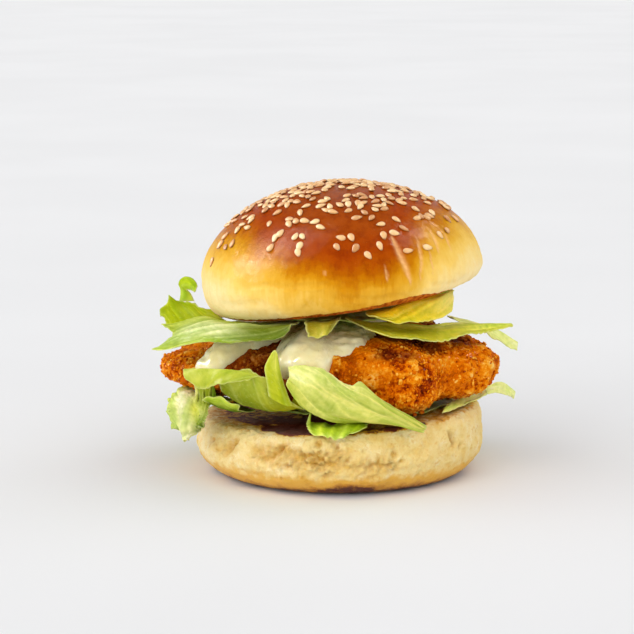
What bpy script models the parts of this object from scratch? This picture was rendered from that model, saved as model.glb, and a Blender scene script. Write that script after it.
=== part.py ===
"""Shrimp cutlet burger: a sesame bun, a breaded shrimp cutlet, mayonnaise and torn iceberg lettuce.

Sizes are in millimetres and make_node scales them to metres. The origin is the centre of the flat
foot of the bottom bun, +Z is up, and the side that shows best faces -Y.
"""

import math
import random

import bpy
import bmesh
from mathutils import Matrix, Vector, noise
from mathutils.bvhtree import BVHTree

MM = 0.001
TAU = 2 * math.pi

# Bottom bun: a turned loaf with a flat foot and a cut top that slopes up to the right.
HEEL_RADIUS = 50.2
HEEL_HEIGHT = 22.2
HEEL_SLOPE = 0.05
HEEL_FOOT_RADIUS = 38.0
HEEL_TOP_RADIUS = 47.0
HEEL_SIDES = 48

# Top bun: a dome over its widest ring, with a rounded lip down to a sloping cut face.
CROWN_RADIUS = 48.8
CROWN_RISE = 30.6
CROWN_CENTRE = Vector((0.7, 0.0, 70.6))
CROWN_LEAN_DEG = 3.6
CROWN_CUT_RADIUS = 43.7
CROWN_TUCK = (205, 2.6, 32)  # direction, how much further the lip curls in there, width
CROWN_CUT_CENTRE = Vector((1.5, 0.0, 60.9))
CROWN_CUT_SLOPE = (0.148, -0.035)
CROWN_SIDES = 44
CROWN_RINGS = 9

# Sesame seeds on the dome, pressed a little into the crust.
SEED_LENGTH = 3.3
SEED_WIDTH = 2.1
SEED_THICK = 1.15
SEED_SUNK = 0.3
SEED_COUNT = 82
SEED_SPACING = 4.4

# Cutlet: a rounded slab, wider than the bun, with a hollow at the front left and a lobe at the right.
CUTLET_CENTRE = Vector((-4.0, 0.0, 0.0))
CUTLET_HALF_LENGTH = 58.5
CUTLET_HALF_DEPTH = 45.0
CUTLET_BULGES = (  # direction in degrees, share of the radius, width in degrees
    (239, -0.18, 15),
    (262, 0.03, 12),
    (303, 0.1, 15),
    (322, -0.09, 8),
    (342, 0.03, 10),
    (20, -0.05, 14),
    (62, 0.06, 18),
    (98, -0.07, 12),
    (130, 0.05, 16),
    (160, -0.05, 10),
)
CUTLET_SAG = (301, 20, 1.5, 0.26)  # direction, width, how much lower and squarer it is there
CUTLET_SIDES = 50
CUTLET_RINGS = 14
CRAG_DEPTH = 1.5

# Mayonnaise: a pool on the cutlet with thick drips over its edge.
SAUCE_THICK = 2.2
SAUCE_HEART = Vector((-4.0, 0.0, 36.0))
SAUCE_REACH = (  # direction in degrees, angle above the cutlet's heart where the pool ends
    (0, 44),
    (40, 30),
    (70, 8),
    (80, 7),
    (105, 24),
    (138, 8),
    (165, 24),
    (188, 24),
    (198, 20),
    (205, 9),
    (212, 4),
    (221, 3),
    (227, 14),
    (236, 25),
    (246, 4),
    (266, 1),
    (273, 14),
    (290, 21),
    (305, 30),
    (330, 42),
)
SAUCE_MOUNDS = (  # direction in degrees, width in degrees, extra thickness
    (75, 9, 2.2),
    (138, 7, 1.6),
    (214, 9, 4.2),
    (256, 11, 4.4),
    (284, 10, 1.4),
)
SAUCE_SIDES = 48
SAUCE_RINGS = (0.3, 0.55, 0.74, 0.87, 0.95, 1.0)

# Leaves are thin wavy sheets of one thickness.
LEAF_THICK = 0.8
GAP = 0.35
FIT = 0.35
SETTLE_ROUNDS = 14
SETTLE_LAST = 3
TOUCHING = 1e-6
PUSH_REACH = 9.0
STRAIGHT_UP = Vector((0.013, 0.021, 1)).normalized()


def smooth_step(t):
    t = min(1.0, max(0.0, t))
    return t * t * (3 - 2 * t)


def turn_between(a, b):
    """The angle from b to a in degrees, from -180 to 180."""
    return (a - b + 180) % 360 - 180


def along(values, t):
    """A smooth value at t, from 0 to 1, through evenly spaced numbers or points."""
    last = len(values) - 1
    place = min(max(t, 0.0), 1.0) * last
    i = min(int(place), last - 1)
    f = place - i
    p0, p1 = values[max(i - 1, 0)], values[i]
    p2, p3 = values[i + 1], values[min(i + 2, last)]
    slope_in, slope_out = (p2 - p0) * 0.5, (p3 - p1) * 0.5
    rise = (p2 - p1) * (3 * f * f - 2 * f**3)
    return p1 + rise + slope_in * (f**3 - 2 * f * f + f) + slope_out * (f**3 - f * f)


def around(table, degrees):
    """A smooth value at a direction, from a table of (direction, value) that closes on itself."""
    ends = [*table, (table[0][0] + 360, table[0][1])]
    degrees %= 360
    if degrees < ends[0][0]:
        degrees += 360
    for (low, before), (high, after) in zip(ends, ends[1:]):
        if low <= degrees <= high:
            return before + (after - before) * smooth_step((degrees - low) / (high - low))


def material(name, colour, roughness):
    made = bpy.data.materials.new(name)
    made.use_nodes = True
    shader = made.node_tree.nodes["Principled BSDF"]
    shader.inputs["Base Color"].default_value = (*colour, 1)
    shader.inputs["Roughness"].default_value = roughness
    shader.inputs["Metallic"].default_value = 0
    made.diffuse_color = (*colour, 1)
    return made


def make_node(name, points, faces, finish):
    """One closed solid as an object, its millimetres scaled to metres."""
    mesh = bpy.data.meshes.new(name)
    mesh.from_pydata([p * MM for p in points], [], faces)
    work = bmesh.new()
    work.from_mesh(mesh)
    bmesh.ops.recalc_face_normals(work, faces=work.faces)
    work.to_mesh(mesh)
    work.free()
    mesh.shade_smooth()
    mesh.materials.append(finish)
    node = bpy.data.objects.new(name, mesh)
    bpy.context.scene.collection.objects.link(node)
    return node


def turned_faces(rings, sides, start=0):
    """Quads between rings of the same number of points, stored ring after ring."""
    faces = []
    for ring in range(rings - 1):
        for side in range(sides):
            a = start + ring * sides + side
            b = start + ring * sides + (side + 1) % sides
            faces.append((a, b, b + sides, a + sides))
    return faces


def surface_of(node):
    """A node's surface in millimetres, to measure distances from."""
    mesh = node.data
    return BVHTree.FromPolygons([v.co / MM for v in mesh.vertices], [p.vertices for p in mesh.polygons])


# --- Bottom bun ---------------------------------------------------------------------------------


def heel_top(x):
    """Height of the cut top of the bottom bun."""
    return HEEL_HEIGHT + HEEL_SLOPE * x


def heel_mesh():
    """Rings from the foot up the side and over the cut top to its middle."""
    profile = (  # radius, share of the height
        (HEEL_FOOT_RADIUS, 0.0),
        (42.6, 0.05),
        (46.2, 0.16),
        (48.8, 0.32),
        (HEEL_RADIUS, 0.52),
        (49.7, 0.72),
        (48.6, 0.9),
        (HEEL_TOP_RADIUS, 1.0),
        (34.0, 0.985),
        (16.0, 0.98),
    )
    points = []
    for radius, share in profile:
        for side in range(HEEL_SIDES):
            turn = TAU * side / HEEL_SIDES
            out = Vector((math.cos(turn), math.sin(turn), 0))
            wobble = 1 + 0.012 * noise.noise(out * 1.7 + Vector((3, 1, 7)))
            crumb = noise.noise(Vector((out.x * 5, out.y * 5, share * 3)))
            relief = 0.9 * crumb * math.sin(math.pi * min(share, 1.0)) if radius > 40 else 0
            place = out * (radius * wobble + relief)
            place.z = share * heel_top(place.x)
            points.append(place)
    faces = turned_faces(len(profile), HEEL_SIDES)
    faces.append(tuple(range(HEEL_SIDES)))
    last = (len(profile) - 1) * HEEL_SIDES
    points.append(Vector((0, 0, 0.98 * heel_top(0))))
    for side in range(HEEL_SIDES):
        faces.append((last + side, last + (side + 1) % HEEL_SIDES, len(points) - 1))
    return points, faces


# --- Top bun ------------------------------------------------------------------------------------


def crown_cut(x, y):
    """Height of the cut face of the top bun."""
    dx, dy = x - CROWN_CUT_CENTRE.x, y - CROWN_CUT_CENTRE.y
    return CROWN_CUT_CENTRE.z + CROWN_CUT_SLOPE[0] * dx + CROWN_CUT_SLOPE[1] * dy


def crown_rim(turn):
    """A point of the edge of the cut face."""
    direction, tuck, width = CROWN_TUCK
    pull = tuck * math.exp(-((turn_between(math.degrees(turn), direction) / width) ** 2))
    rim = CROWN_CUT_CENTRE + Vector((math.cos(turn), math.sin(turn), 0)) * (CROWN_CUT_RADIUS - pull)
    rim.z = crown_cut(rim.x, rim.y)
    return rim


def dome_point(turn, colatitude):
    """A point of the crust, from the crown's top at 0 to its widest ring at 90 degrees."""
    out = Vector((math.cos(turn), math.sin(turn), 0))
    swell = 1 + 0.012 * noise.noise(out * 1.3 + Vector((0, 0, colatitude * 1.6)))
    lean = Matrix.Rotation(-math.radians(CROWN_LEAN_DEG), 4, "Y")
    place = out * (CROWN_RADIUS * math.sin(colatitude)) * swell
    place.z = CROWN_RISE * math.cos(colatitude) * swell
    return CROWN_CENTRE + lean @ place


def crown_mesh():
    """Rings from the top down the dome, round the lip and in over the cut face."""
    points, rings = [], 0
    for ring in range(1, CROWN_RINGS + 1):
        colatitude = math.pi / 2 * ring / CROWN_RINGS
        rings += 1
        points += [dome_point(TAU * side / CROWN_SIDES, colatitude) for side in range(CROWN_SIDES)]
    for t in (0.25, 0.5, 0.75, 0.92, 1.0):
        rings += 1
        for side in range(CROWN_SIDES):
            turn = TAU * side / CROWN_SIDES
            wide, rim = dome_point(turn, math.pi / 2), crown_rim(turn)
            drop, pull = math.sin(t * math.pi / 2), 1 - math.cos(t * math.pi / 2)
            points.append(
                Vector(
                    (
                        wide.x + (rim.x - wide.x) * pull,
                        wide.y + (rim.y - wide.y) * pull,
                        wide.z + (rim.z - wide.z) * drop,
                    )
                )
            )
    faces = turned_faces(rings, CROWN_SIDES)
    points.append(dome_point(0, 0))
    faces += [(len(points) - 1, side, (side + 1) % CROWN_SIDES) for side in range(CROWN_SIDES)]
    faces.append(tuple((rings - 1) * CROWN_SIDES + side for side in range(CROWN_SIDES)))
    return points, faces


def seed_density(x, y):
    """How thickly seeds lie at a place of the dome, in shares of its radius: thick on top, bare at the rim."""
    out = math.hypot(x, y)
    cover = 1 - 0.62 * smooth_step((out - 0.48) / 0.2) - 0.18 * smooth_step((out - 0.74) / 0.12)
    cover -= 0.175 * smooth_step((out - 0.88) / 0.07)
    bare = math.exp(-(((x - 0.05) / 0.2) ** 2 + ((y + 0.3) / 0.16) ** 2))
    return cover * (1 - 0.8 * bare)


def seed_places(count, spacing):
    """Turn, colatitude and heading of each seed. Early seeds are spread evenly and later ones fill in."""
    draw = random.Random(11)
    places, taken = [], []
    while len(places) < count:
        turn, out = TAU * draw.random(), 0.97 * math.sqrt(draw.random())
        heading, keep = TAU * draw.random(), draw.random()
        if keep > seed_density(out * math.cos(turn), out * math.sin(turn)):
            continue
        place = dome_point(turn, math.asin(out))
        if all((place - other).length > spacing for other in taken):
            taken.append(place)
            places.append((turn, math.asin(out), heading))
    return places


def seed_frame(dome, turn, colatitude, heading):
    """Where a seed lies on the faceted dome: its middle, and the matrix from its own axes."""
    step = 0.01
    here = dome_point(turn, colatitude)
    down = (dome_point(turn, colatitude + step) - here).normalized()
    beside = (dome_point(turn + step, colatitude) - here).normalized()
    up = down.cross(beside).normalized()
    here = dome.find_nearest(here)[0]
    long_axis = (down * math.cos(heading) + beside * math.sin(heading)).normalized()
    short_axis = up.cross(long_axis).normalized()
    frame = Matrix((long_axis, short_axis, up)).transposed()
    return here + up * (SEED_THICK / 2 - SEED_SUNK), frame


def seed_mesh(middle, frame):
    """A teardrop of 30 triangles, blunt at one end."""
    points = [middle + frame @ Vector((SEED_LENGTH / 2, 0, 0))]
    for share, girth in ((0.22, 0.72), (-0.1, 1.0), (-0.36, 0.7)):
        for side in range(5):
            turn = TAU * (side + 0.5) / 5
            across = Vector(
                (
                    share * SEED_LENGTH,
                    girth * SEED_WIDTH / 2 * math.cos(turn),
                    girth * SEED_THICK / 2 * math.sin(turn),
                )
            )
            points.append(middle + frame @ across)
    points.append(middle + frame @ Vector((-SEED_LENGTH / 2, 0, 0)))
    faces = [(0, 1 + side, 1 + (side + 1) % 5) for side in range(5)]
    faces += turned_faces(3, 5, start=1)
    faces += [(16, 11 + (side + 1) % 5, 11 + side) for side in range(5)]
    return points, faces


def join_seeds(crown, dome, crust):
    """Fuses the seeds to the top bun with one Boolean union."""
    group = bpy.data.collections.new("seeds")
    bpy.context.scene.collection.children.link(group)
    for number, place in enumerate(seed_places(SEED_COUNT, SEED_SPACING)):
        points, faces = seed_mesh(*seed_frame(dome, *place))
        seed = make_node(f"seed_{number}", points, faces, crust)
        bpy.context.scene.collection.objects.unlink(seed)
        group.objects.link(seed)
    union = crown.modifiers.new("seeds", "BOOLEAN")
    union.operation = "UNION"
    union.operand_type = "COLLECTION"
    union.collection = group
    union.solver = "MANIFOLD"
    graph = bpy.context.evaluated_depsgraph_get()
    joined = bpy.data.meshes.new_from_object(crown.evaluated_get(graph))
    crown.modifiers.clear()
    crown.data = joined
    for seed in list(group.objects):
        bpy.data.objects.remove(seed)
    bpy.data.collections.remove(group)


# --- Cutlet -------------------------------------------------------------------------------------


def cutlet_radius(degrees):
    """Plan radius of the cutlet in a direction from its middle."""
    turn = math.radians(degrees)
    oval = 1 / math.hypot(
        math.cos(turn) / CUTLET_HALF_LENGTH, math.sin(turn) / CUTLET_HALF_DEPTH
    )
    for direction, share, width in CUTLET_BULGES:
        oval *= 1 + share * math.exp(-((turn_between(degrees, direction) / width) ** 2))
    return oval


def cutlet_levels(x):
    """Heights of the cutlet's underside and top: it rides up on the leaves at the left."""
    left, right = smooth_step((-x - 8) / 46), smooth_step((x - 20) / 34)
    low = 26.6 + 4.4 * left + 0.6 * right
    high = 51.6 - 7.5 * left**2 - 3.6 * right
    return low, high


def cutlet_point(turn, height):
    """A point of the crust: height runs from -90 degrees underneath to 90 on top."""
    lift, reach = math.sin(height), math.cos(height)
    out = Vector((math.cos(turn), math.sin(turn), 0))
    direction, width, lower, squarer = CUTLET_SAG
    sag = math.exp(-((turn_between(math.degrees(turn), direction) / width) ** 2))
    away = cutlet_radius(math.degrees(turn)) * reach ** (0.55 - squarer * sag)
    place = CUTLET_CENTRE + out * away
    low, high = cutlet_levels(place.x)
    low -= lower * sag * smooth_step(away / 12 - 3.2)
    place.z = (low + high) / 2 + (high - low) / 2 * math.copysign(abs(lift) ** 0.62, lift)
    crags = noise.noise(place * 0.11) + 0.5 * noise.noise(place * 0.26)
    side = out * reach + Vector((0, 0, 0.35 * lift))
    return place + side * (CRAG_DEPTH * crags)


def cutlet_mesh():
    points = []
    for ring in range(1, CUTLET_RINGS):
        height = math.pi * (ring / CUTLET_RINGS - 0.5)
        points += [cutlet_point(TAU * side / CUTLET_SIDES, height) for side in range(CUTLET_SIDES)]
    faces = turned_faces(CUTLET_RINGS - 1, CUTLET_SIDES)
    last = (CUTLET_RINGS - 2) * CUTLET_SIDES
    low, high = len(points), len(points) + 1
    points += [cutlet_point(0, -math.pi / 2), cutlet_point(0, math.pi / 2)]
    for side in range(CUTLET_SIDES):
        after = (side + 1) % CUTLET_SIDES
        faces += [(low, after, side), (high, last + side, last + after)]
    return points, faces


# --- Mayonnaise ---------------------------------------------------------------------------------


def sauce_thickness(degrees, share):
    """How thick the sauce lies from the middle, 0, to its edge, 1, where it dips into the crust."""
    mound = sum(
        extra * math.exp(-((turn_between(degrees, direction) / width) ** 2))
        for direction, width, extra in SAUCE_MOUNDS
    )
    return (SAUCE_THICK + mound * smooth_step(share * 2 - 0.6)) * (1.05 - 1.4 * share**11)


def sauce_mesh(crust):
    """A skin over the top of the crust, closed by a cone to the cutlet's heart."""
    points = []
    for share in SAUCE_RINGS:
        for side in range(SAUCE_SIDES):
            turn = 360 * side / SAUCE_SIDES
            end = around(SAUCE_REACH, turn)
            height = math.radians(90 + (end - 90) * share**0.7)
            turn = math.radians(turn)
            level = math.cos(height)
            away = Vector((level * math.cos(turn), level * math.sin(turn), math.sin(height)))
            base, normal = crust.ray_cast(SAUCE_HEART, away)[:2]
            out = (normal + 2 * away).normalized()
            points.append(base + out * sauce_thickness(math.degrees(turn), share))
    faces = turned_faces(len(SAUCE_RINGS), SAUCE_SIDES)
    top = crust.ray_cast(SAUCE_HEART, Vector((0, 0, 1)))[0]
    points += [SAUCE_HEART, top + Vector((0, 0, SAUCE_THICK))]
    edge = (len(SAUCE_RINGS) - 1) * SAUCE_SIDES
    for side in range(SAUCE_SIDES):
        after = (side + 1) % SAUCE_SIDES
        faces += [(len(points) - 1, after, side), (len(points) - 2, edge + side, edge + after)]
    return points, faces


def swollen(node, by):
    """A copy of a node with every point moved out along its normal."""
    copy = bpy.data.objects.new(node.name + "_room", node.data.copy())
    bpy.context.scene.collection.objects.link(copy)
    for vertex, normal in zip(copy.data.vertices, node.data.vertex_normals):
        vertex.co += normal.vector * (by * MM)
    return copy


def carve(node, room):
    """Takes the room out of a node and removes the cutter."""
    cut = node.modifiers.new("room", "BOOLEAN")
    cut.operation = "DIFFERENCE"
    cut.object = room
    graph = bpy.context.evaluated_depsgraph_get()
    carved = bpy.data.meshes.new_from_object(node.evaluated_get(graph))
    node.modifiers.clear()
    node.data = carved
    bpy.data.objects.remove(room)


# --- Lettuce ------------------------------------------------------------------------------------


class Leaf:
    """A torn leaf: a smooth sheet through rails, from its root under the bun to its free edge.

    Each rail is a list of points and all the rails run the same way. cells is how many cells run
    along the rails and across them, ruffle the depth of the wavy free edge, waves how many ruffles
    it has, and torn how ragged it is.
    """

    def __init__(self, name, rails, cells, ruffle=0.7, waves=2.5, torn=0.7):
        self.name = name
        self.rails = [[Vector(point) for point in rail] for rail in rails]
        self.cells = cells
        self.ruffle = ruffle
        self.waves = waves
        self.torn = torn
        self.phase = TAU * noise.noise(self.rails[-1][0] * 0.37)

    def smooth_point(self, u, v):
        """A point of the sheet before it is ruffled: u along the rails and v across them."""
        return along([along(rail, u) for rail in self.rails], v)

    def point(self, u, v):
        here, step = self.smooth_point(u, v), 0.02
        run = self.smooth_point(u + step, v) - self.smooth_point(u - step, v)
        reach = (self.smooth_point(u, v + step) - self.smooth_point(u, v - step)).normalized()
        normal = run.cross(reach).normalized()
        wave = math.sin(TAU * self.waves * u + self.phase + 1.3 * v)
        tear = noise.noise(Vector((9 * u, 0.5, self.phase)))
        return here + normal * (self.ruffle * v * v * wave) + reach * (self.torn * 2 * v**3 * tear)

    def grid(self):
        long_way, wide_way = self.cells
        return [
            [self.point(i / long_way, j / wide_way) for j in range(wide_way + 1)]
            for i in range(long_way + 1)
        ]


LEAVES = (
    Leaf(
        "lettuce_lower_layer",
        rails=(
            [(30, -22, 24.8), (0, -28, 24.6), (-28, -20, 26)],
            [(40, -2, 25.2), (0, 0, 24.6), (-38, 2, 27)],
            [(32, 22, 25.2), (0, 29, 24.8), (-28, 22, 27)],
        ),
        cells=(9, 6),
    ),
    Leaf(
        "lettuce_upper_layer",
        rails=(
            [(24, -20, 57.5), (4, -28, 57.5), (-12, -20, 56.5)],
            [(36, 2, 57), (4, 2, 56.5), (-26, 2, 55)],
            [(28, 24, 57.5), (4, 30, 57), (-18, 22, 55.5)],
        ),
        cells=(9, 6),
    ),
    Leaf(
        "lettuce_left_frill",
        rails=(
            [(-38, 4, 51), (-46, 3, 51.5), (-54, 3, 51), (-61.5, 2.5, 51)],
            [(-42, 5, 53), (-47.5, 4, 54), (-54, 5, 56), (-59.5, 4.5, 55.5), (-62, 3, 53.5)],
            [
                (-45, 8, 54.5),
                (-49, 7, 56.5),
                (-51, 7, 58.5),
                (-55, 8, 59),
                (-58, 8, 60),
                (-60.5, 7, 62),
                (-61, 6, 59),
                (-64, 4, 56),
                (-63, 3, 53.5),
            ],
        ),
        cells=(12, 4),
        ruffle=0.5,
        waves=2.6,
        torn=0.2,
    ),
    Leaf(
        "lettuce_left_knob",
        rails=(
            [
                (-57, 9.5, 58),
                (-56.5, 10.5, 61.5),
                (-57, 9.5, 64.5),
                (-55, 6, 67.3),
                (-51.5, 3, 67),
                (-50, 2, 64.5),
            ],
            [
                (-52.5, 9, 58),
                (-53.5, 9, 61),
                (-54.5, 7.5, 62.8),
                (-53.5, 5, 63.6),
                (-52.3, 3.4, 63.6),
                (-51, 2, 62.8),
            ],
        ),
        cells=(8, 2),
        ruffle=0.2,
        waves=1.5,
        torn=0.1,
    ),
    Leaf(
        "lettuce_left_fold",
        rails=(
            [
                (-14, -31, 57),
                (-26, -23, 55.5),
                (-38, -16, 54.5),
                (-48, -10, 55),
                (-56, -6.5, 53),
                (-62.5, -6, 52),
            ],
            [
                (-16, -43, 58),
                (-27, -42, 57),
                (-37, -37.5, 56.5),
                (-46, -31, 55.5),
                (-53, -24, 53),
                (-57.5, -20, 51),
            ],
            [
                (-17, -47, 57.5),
                (-24, -47, 54),
                (-34, -43.5, 52.5),
                (-45, -36.5, 51.5),
                (-56, -27, 47.5),
                (-65.5, -20, 46),
            ],
        ),
        cells=(13, 5),
        torn=0.3,
    ),
    Leaf(
        "lettuce_front_scrap",
        rails=(
            [(0, -34, 59.2), (-6.5, -34, 58.6), (-12, -34, 58)],
            [(-1, -46, 60), (-6.5, -48, 59.5), (-12.5, -47, 59)],
            [(-3.5, -50, 57.5), (-7, -51.5, 55.5), (-11, -51.5, 55.5)],
        ),
        cells=(5, 5),
        ruffle=0.3,
        torn=0.4,
    ),
    Leaf(
        "lettuce_right_bunch",
        rails=(
            [(38, -8, 62.5), (31, -18, 62), (21, -24, 61), (10, -28, 59.5)],
            [(38.5, -18, 67), (33, -27, 66), (24, -34, 65), (16, -38, 63), (8, -40, 61.5)],
            [(38, -23, 60.5), (33.5, -31.5, 58.8), (27, -38, 58.5), (20, -42, 58.8), (12, -43, 60.5)],
        ),
        cells=(9, 5),
        torn=0.4,
    ),
    Leaf(
        "lettuce_right_blade",
        rails=(
            [
                (1, -33, 59.5),
                (11, -29, 57.5),
                (20, -24, 55.5),
                (31, -16, 54),
                (40, -6, 53.3),
                (49.5, 0, 52.3),
                (60.5, 4, 51),
            ],
            [
                (6, -39, 58),
                (14, -37, 56),
                (23, -32, 54.5),
                (32, -25, 53.3),
                (41, -14, 52.6),
                (51, -4, 51.9),
                (60.8, 3.5, 50.6),
            ],
            [
                (14.5, -44, 55.5),
                (20, -42, 53.6),
                (27.5, -38, 52),
                (37, -29, 51),
                (44, -20, 51),
                (52, -8, 50.8),
                (60.5, 2.5, 50.2),
            ],
        ),
        cells=(13, 5),
        torn=0.5,
    ),
    Leaf(
        "lettuce_right_strip",
        rails=(
            [(38, 16, 52), (48, 16, 50), (57.5, 18, 45.5), (64, 22, 41)],
            [(40, 8, 52), (50.5, 11, 47), (57, 13, 42.5), (63.5, 20, 38.5)],
        ),
        cells=(8, 3),
        ruffle=0.5,
        torn=0.4,
    ),
    Leaf(
        "lettuce_low_left_frill",
        rails=(
            [(-38, -20, 28.5), (-41, -13, 28.5), (-42, -4, 28.5)],
            [(-45.5, -29, 29.5), (-52, -22, 31.5), (-55, -12, 31)],
            [(-46.5, -34, 26), (-54, -29, 27.5), (-60, -19, 27)],
            [(-47.5, -34, 21.5), (-53, -29, 15.5), (-56.5, -21, 20)],
        ),
        cells=(9, 8),
        ruffle=1.3,
        waves=2.2,
        torn=0.4,
    ),
    Leaf(
        "lettuce_low_left",
        rails=(
            [(-12, -33, 28.5), (-24, -31, 29), (-35, -27, 29.5)],
            [(-13, -44.5, 31), (-23, -46, 30.2), (-32, -43.5, 31.5), (-40, -40, 35)],
            [(-19, -50, 35.5), (-25, -50.5, 40.5), (-29, -50, 42.8), (-35, -48.5, 43), (-42, -43, 40)],
        ),
        cells=(11, 5),
        torn=0.4,
    ),
    Leaf(
        "lettuce_low_left_flap",
        rails=(
            [
                (-27, -53, 43),
                (-33.5, -51.5, 44.5),
                (-40.5, -48, 44.5),
                (-47.5, -41.5, 43.5),
                (-53.5, -35, 42),
            ],
            [
                (-31.5, -53.5, 42),
                (-37, -52, 40.3),
                (-42, -49, 38.8),
                (-47, -44, 36.5),
                (-52.5, -37, 39),
            ],
        ),
        cells=(9, 3),
        ruffle=0.2,
        torn=0.1,
    ),
    Leaf(
        "lettuce_low_spike",
        rails=(
            [(-16.5, -49, 32.5), (-20, -50.5, 33), (-24.5, -51.5, 36)],
            [(-18, -51, 37), (-21, -52.5, 38), (-25, -53, 40.5)],
            [(-20, -54, 44), (-22.5, -55, 45.5), (-25.5, -54.5, 46.5)],
            [(-21.3, -55, 51), (-22, -55, 52.5), (-23, -55, 51)],
        ),
        cells=(3, 6),
        ruffle=0.2,
        torn=0.1,
    ),
    Leaf(
        "lettuce_low_left_curl",
        rails=(
            [(-30, -27, 26), (-38, -20, 26)],
            [(-35, -35, 27.5), (-44, -28, 28)],
            [(-36, -40, 30), (-41, -36.5, 32), (-47, -33, 30.5)],
        ),
        cells=(6, 4),
        ruffle=0.4,
        torn=0.2,
    ),
    Leaf(
        "lettuce_low_sweep",
        rails=(
            [(24, -36, 24.8), (10, -36, 26), (0, -36, 26.5), (-9, -36, 28)],
            [(27.5, -46.5, 22.6), (12, -50.5, 26.5), (-3, -52, 28), (-12, -53, 32), (-18, -57, 40)],
            [(28.3, -47.3, 23.8), (15, -54, 31), (2, -56.5, 35.5), (-9, -58.5, 40), (-17.5, -58.5, 44)],
            [
                (28.5, -47.5, 25),
                (13.5, -53.5, 35.5),
                (6, -55.5, 42.3),
                (2.8, -55.5, 40.5),
                (-4, -56.5, 45.5),
                (-12.5, -57.5, 48),
                (-18, -58, 47.3),
            ],
        ),
        cells=(14, 8),
        ruffle=0.4,
        torn=0.3,
    ),
    Leaf(
        "lettuce_low_scrap",
        rails=(
            [(9, -39, 24.2), (-3, -39, 23.8), (-12, -38, 24)],
            [(9, -47.5, 24.6), (-3, -49.3, 24.4), (-12, -47.5, 24.8)],
            [(4, -51.5, 23.5), (-1, -52, 20.8), (-5.5, -52, 21.8), (-11, -51.5, 23)],
        ),
        cells=(8, 5),
        ruffle=0.2,
        torn=0.3,
    ),
    Leaf(
        "lettuce_low_right",
        rails=(
            [
                (36, -22, 26.5),
                (42, -8, 27),
                (48.5, 4, 26.5),
                (55, 14, 27.8),
                (60, 20, 26.3),
                (63.5, 24, 22.5),
            ],
            [
                (34, -30, 25.5),
                (41, -18, 25.6),
                (47.5, -6, 25.2),
                (54, 8, 25.3),
                (59.5, 15.5, 22.8),
                (63, 21, 20.5),
            ],
        ),
        cells=(12, 3),
        ruffle=0.5,
        torn=0.4,
    ),
    Leaf(
        "lettuce_back_bunch",
        rails=(
            [(28, 22, 61), (12, 31, 59.5), (-6, 32, 57.5)],
            [(34, 31, 62), (16, 43, 60), (-8, 45, 56)],
            [(42, 38, 56), (34, 47, 51), (19, 54, 49), (4, 55, 52), (-10, 52, 50)],
        ),
        cells=(11, 4),
        ruffle=1.2,
        waves=3.0,
        torn=0.4,
    ),
    Leaf(
        "lettuce_back_left",
        rails=(
            [(-16, 30, 54.5), (-32, 18, 53)],
            [(-20, 43, 53), (-38, 34, 51.5), (-48, 18, 50.5)],
            [(-20, 54, 46), (-34, 52, 50), (-46, 46, 47), (-57, 34, 51), (-62, 20, 48)],
        ),
        cells=(11, 4),
        ruffle=1.3,
        waves=3.2,
        torn=0.4,
    ),
    Leaf(
        "lettuce_low_back",
        rails=(
            [(34, 26, 24.8), (14, 36, 24.6), (-8, 37, 24.8)],
            [(46, 32, 25), (20, 50, 24.8), (-8, 50, 25)],
            [(54, 34, 21), (42, 47, 23), (24, 56, 18), (6, 56, 23.5), (-10, 55, 19)],
        ),
        cells=(11, 4),
        ruffle=0.9,
        waves=3.0,
        torn=0.4,
    ),
    Leaf(
        "lettuce_low_back_left",
        rails=(
            [(-18, 34, 26), (-36, 22, 27.5), (-43, 4, 28.5)],
            [(-26, 47, 27), (-45, 33, 28), (-50, 12, 29)],
            [(-24, 57, 24), (-40, 51, 18), (-50, 40, 24), (-57, 26, 19), (-57, 12, 25)],
        ),
        cells=(11, 4),
        ruffle=1.0,
        waves=3.0,
        torn=0.4,
    ),
)


def is_inside(surface, point):
    """Whether the first face straight above a point is seen from within."""
    normal = surface.ray_cast(point, STRAIGHT_UP)[1]
    return normal is not None and normal.dot(STRAIGHT_UP) > 0


def pushed(point, surfaces, clearance):
    """The point moved out of every surface, to at least this far from each."""
    for surface in surfaces:
        near, normal, _, distance = surface.find_nearest(point, PUSH_REACH)
        if near is None:
            continue
        inside = is_inside(surface, point)
        if inside or distance < clearance:
            away = (point - near) / distance if distance > TOUCHING else normal
            point = near + away * (-clearance if inside and distance > TOUCHING else clearance)
    return point


def spread(moves):
    """Shares how far each point was moved with its neighbours."""
    rows, columns = len(moves), len(moves[0])
    shared = []
    for i in range(rows):
        shared.append([])
        for j in range(columns):
            beside = [moves[max(i - 1, 0)][j], moves[min(i + 1, rows - 1)][j]]
            beside += [moves[i][max(j - 1, 0)], moves[i][min(j + 1, columns - 1)]]
            shared[-1].append(moves[i][j].lerp(sum(beside, Vector()) / 4, 0.5))
    return shared


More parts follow.
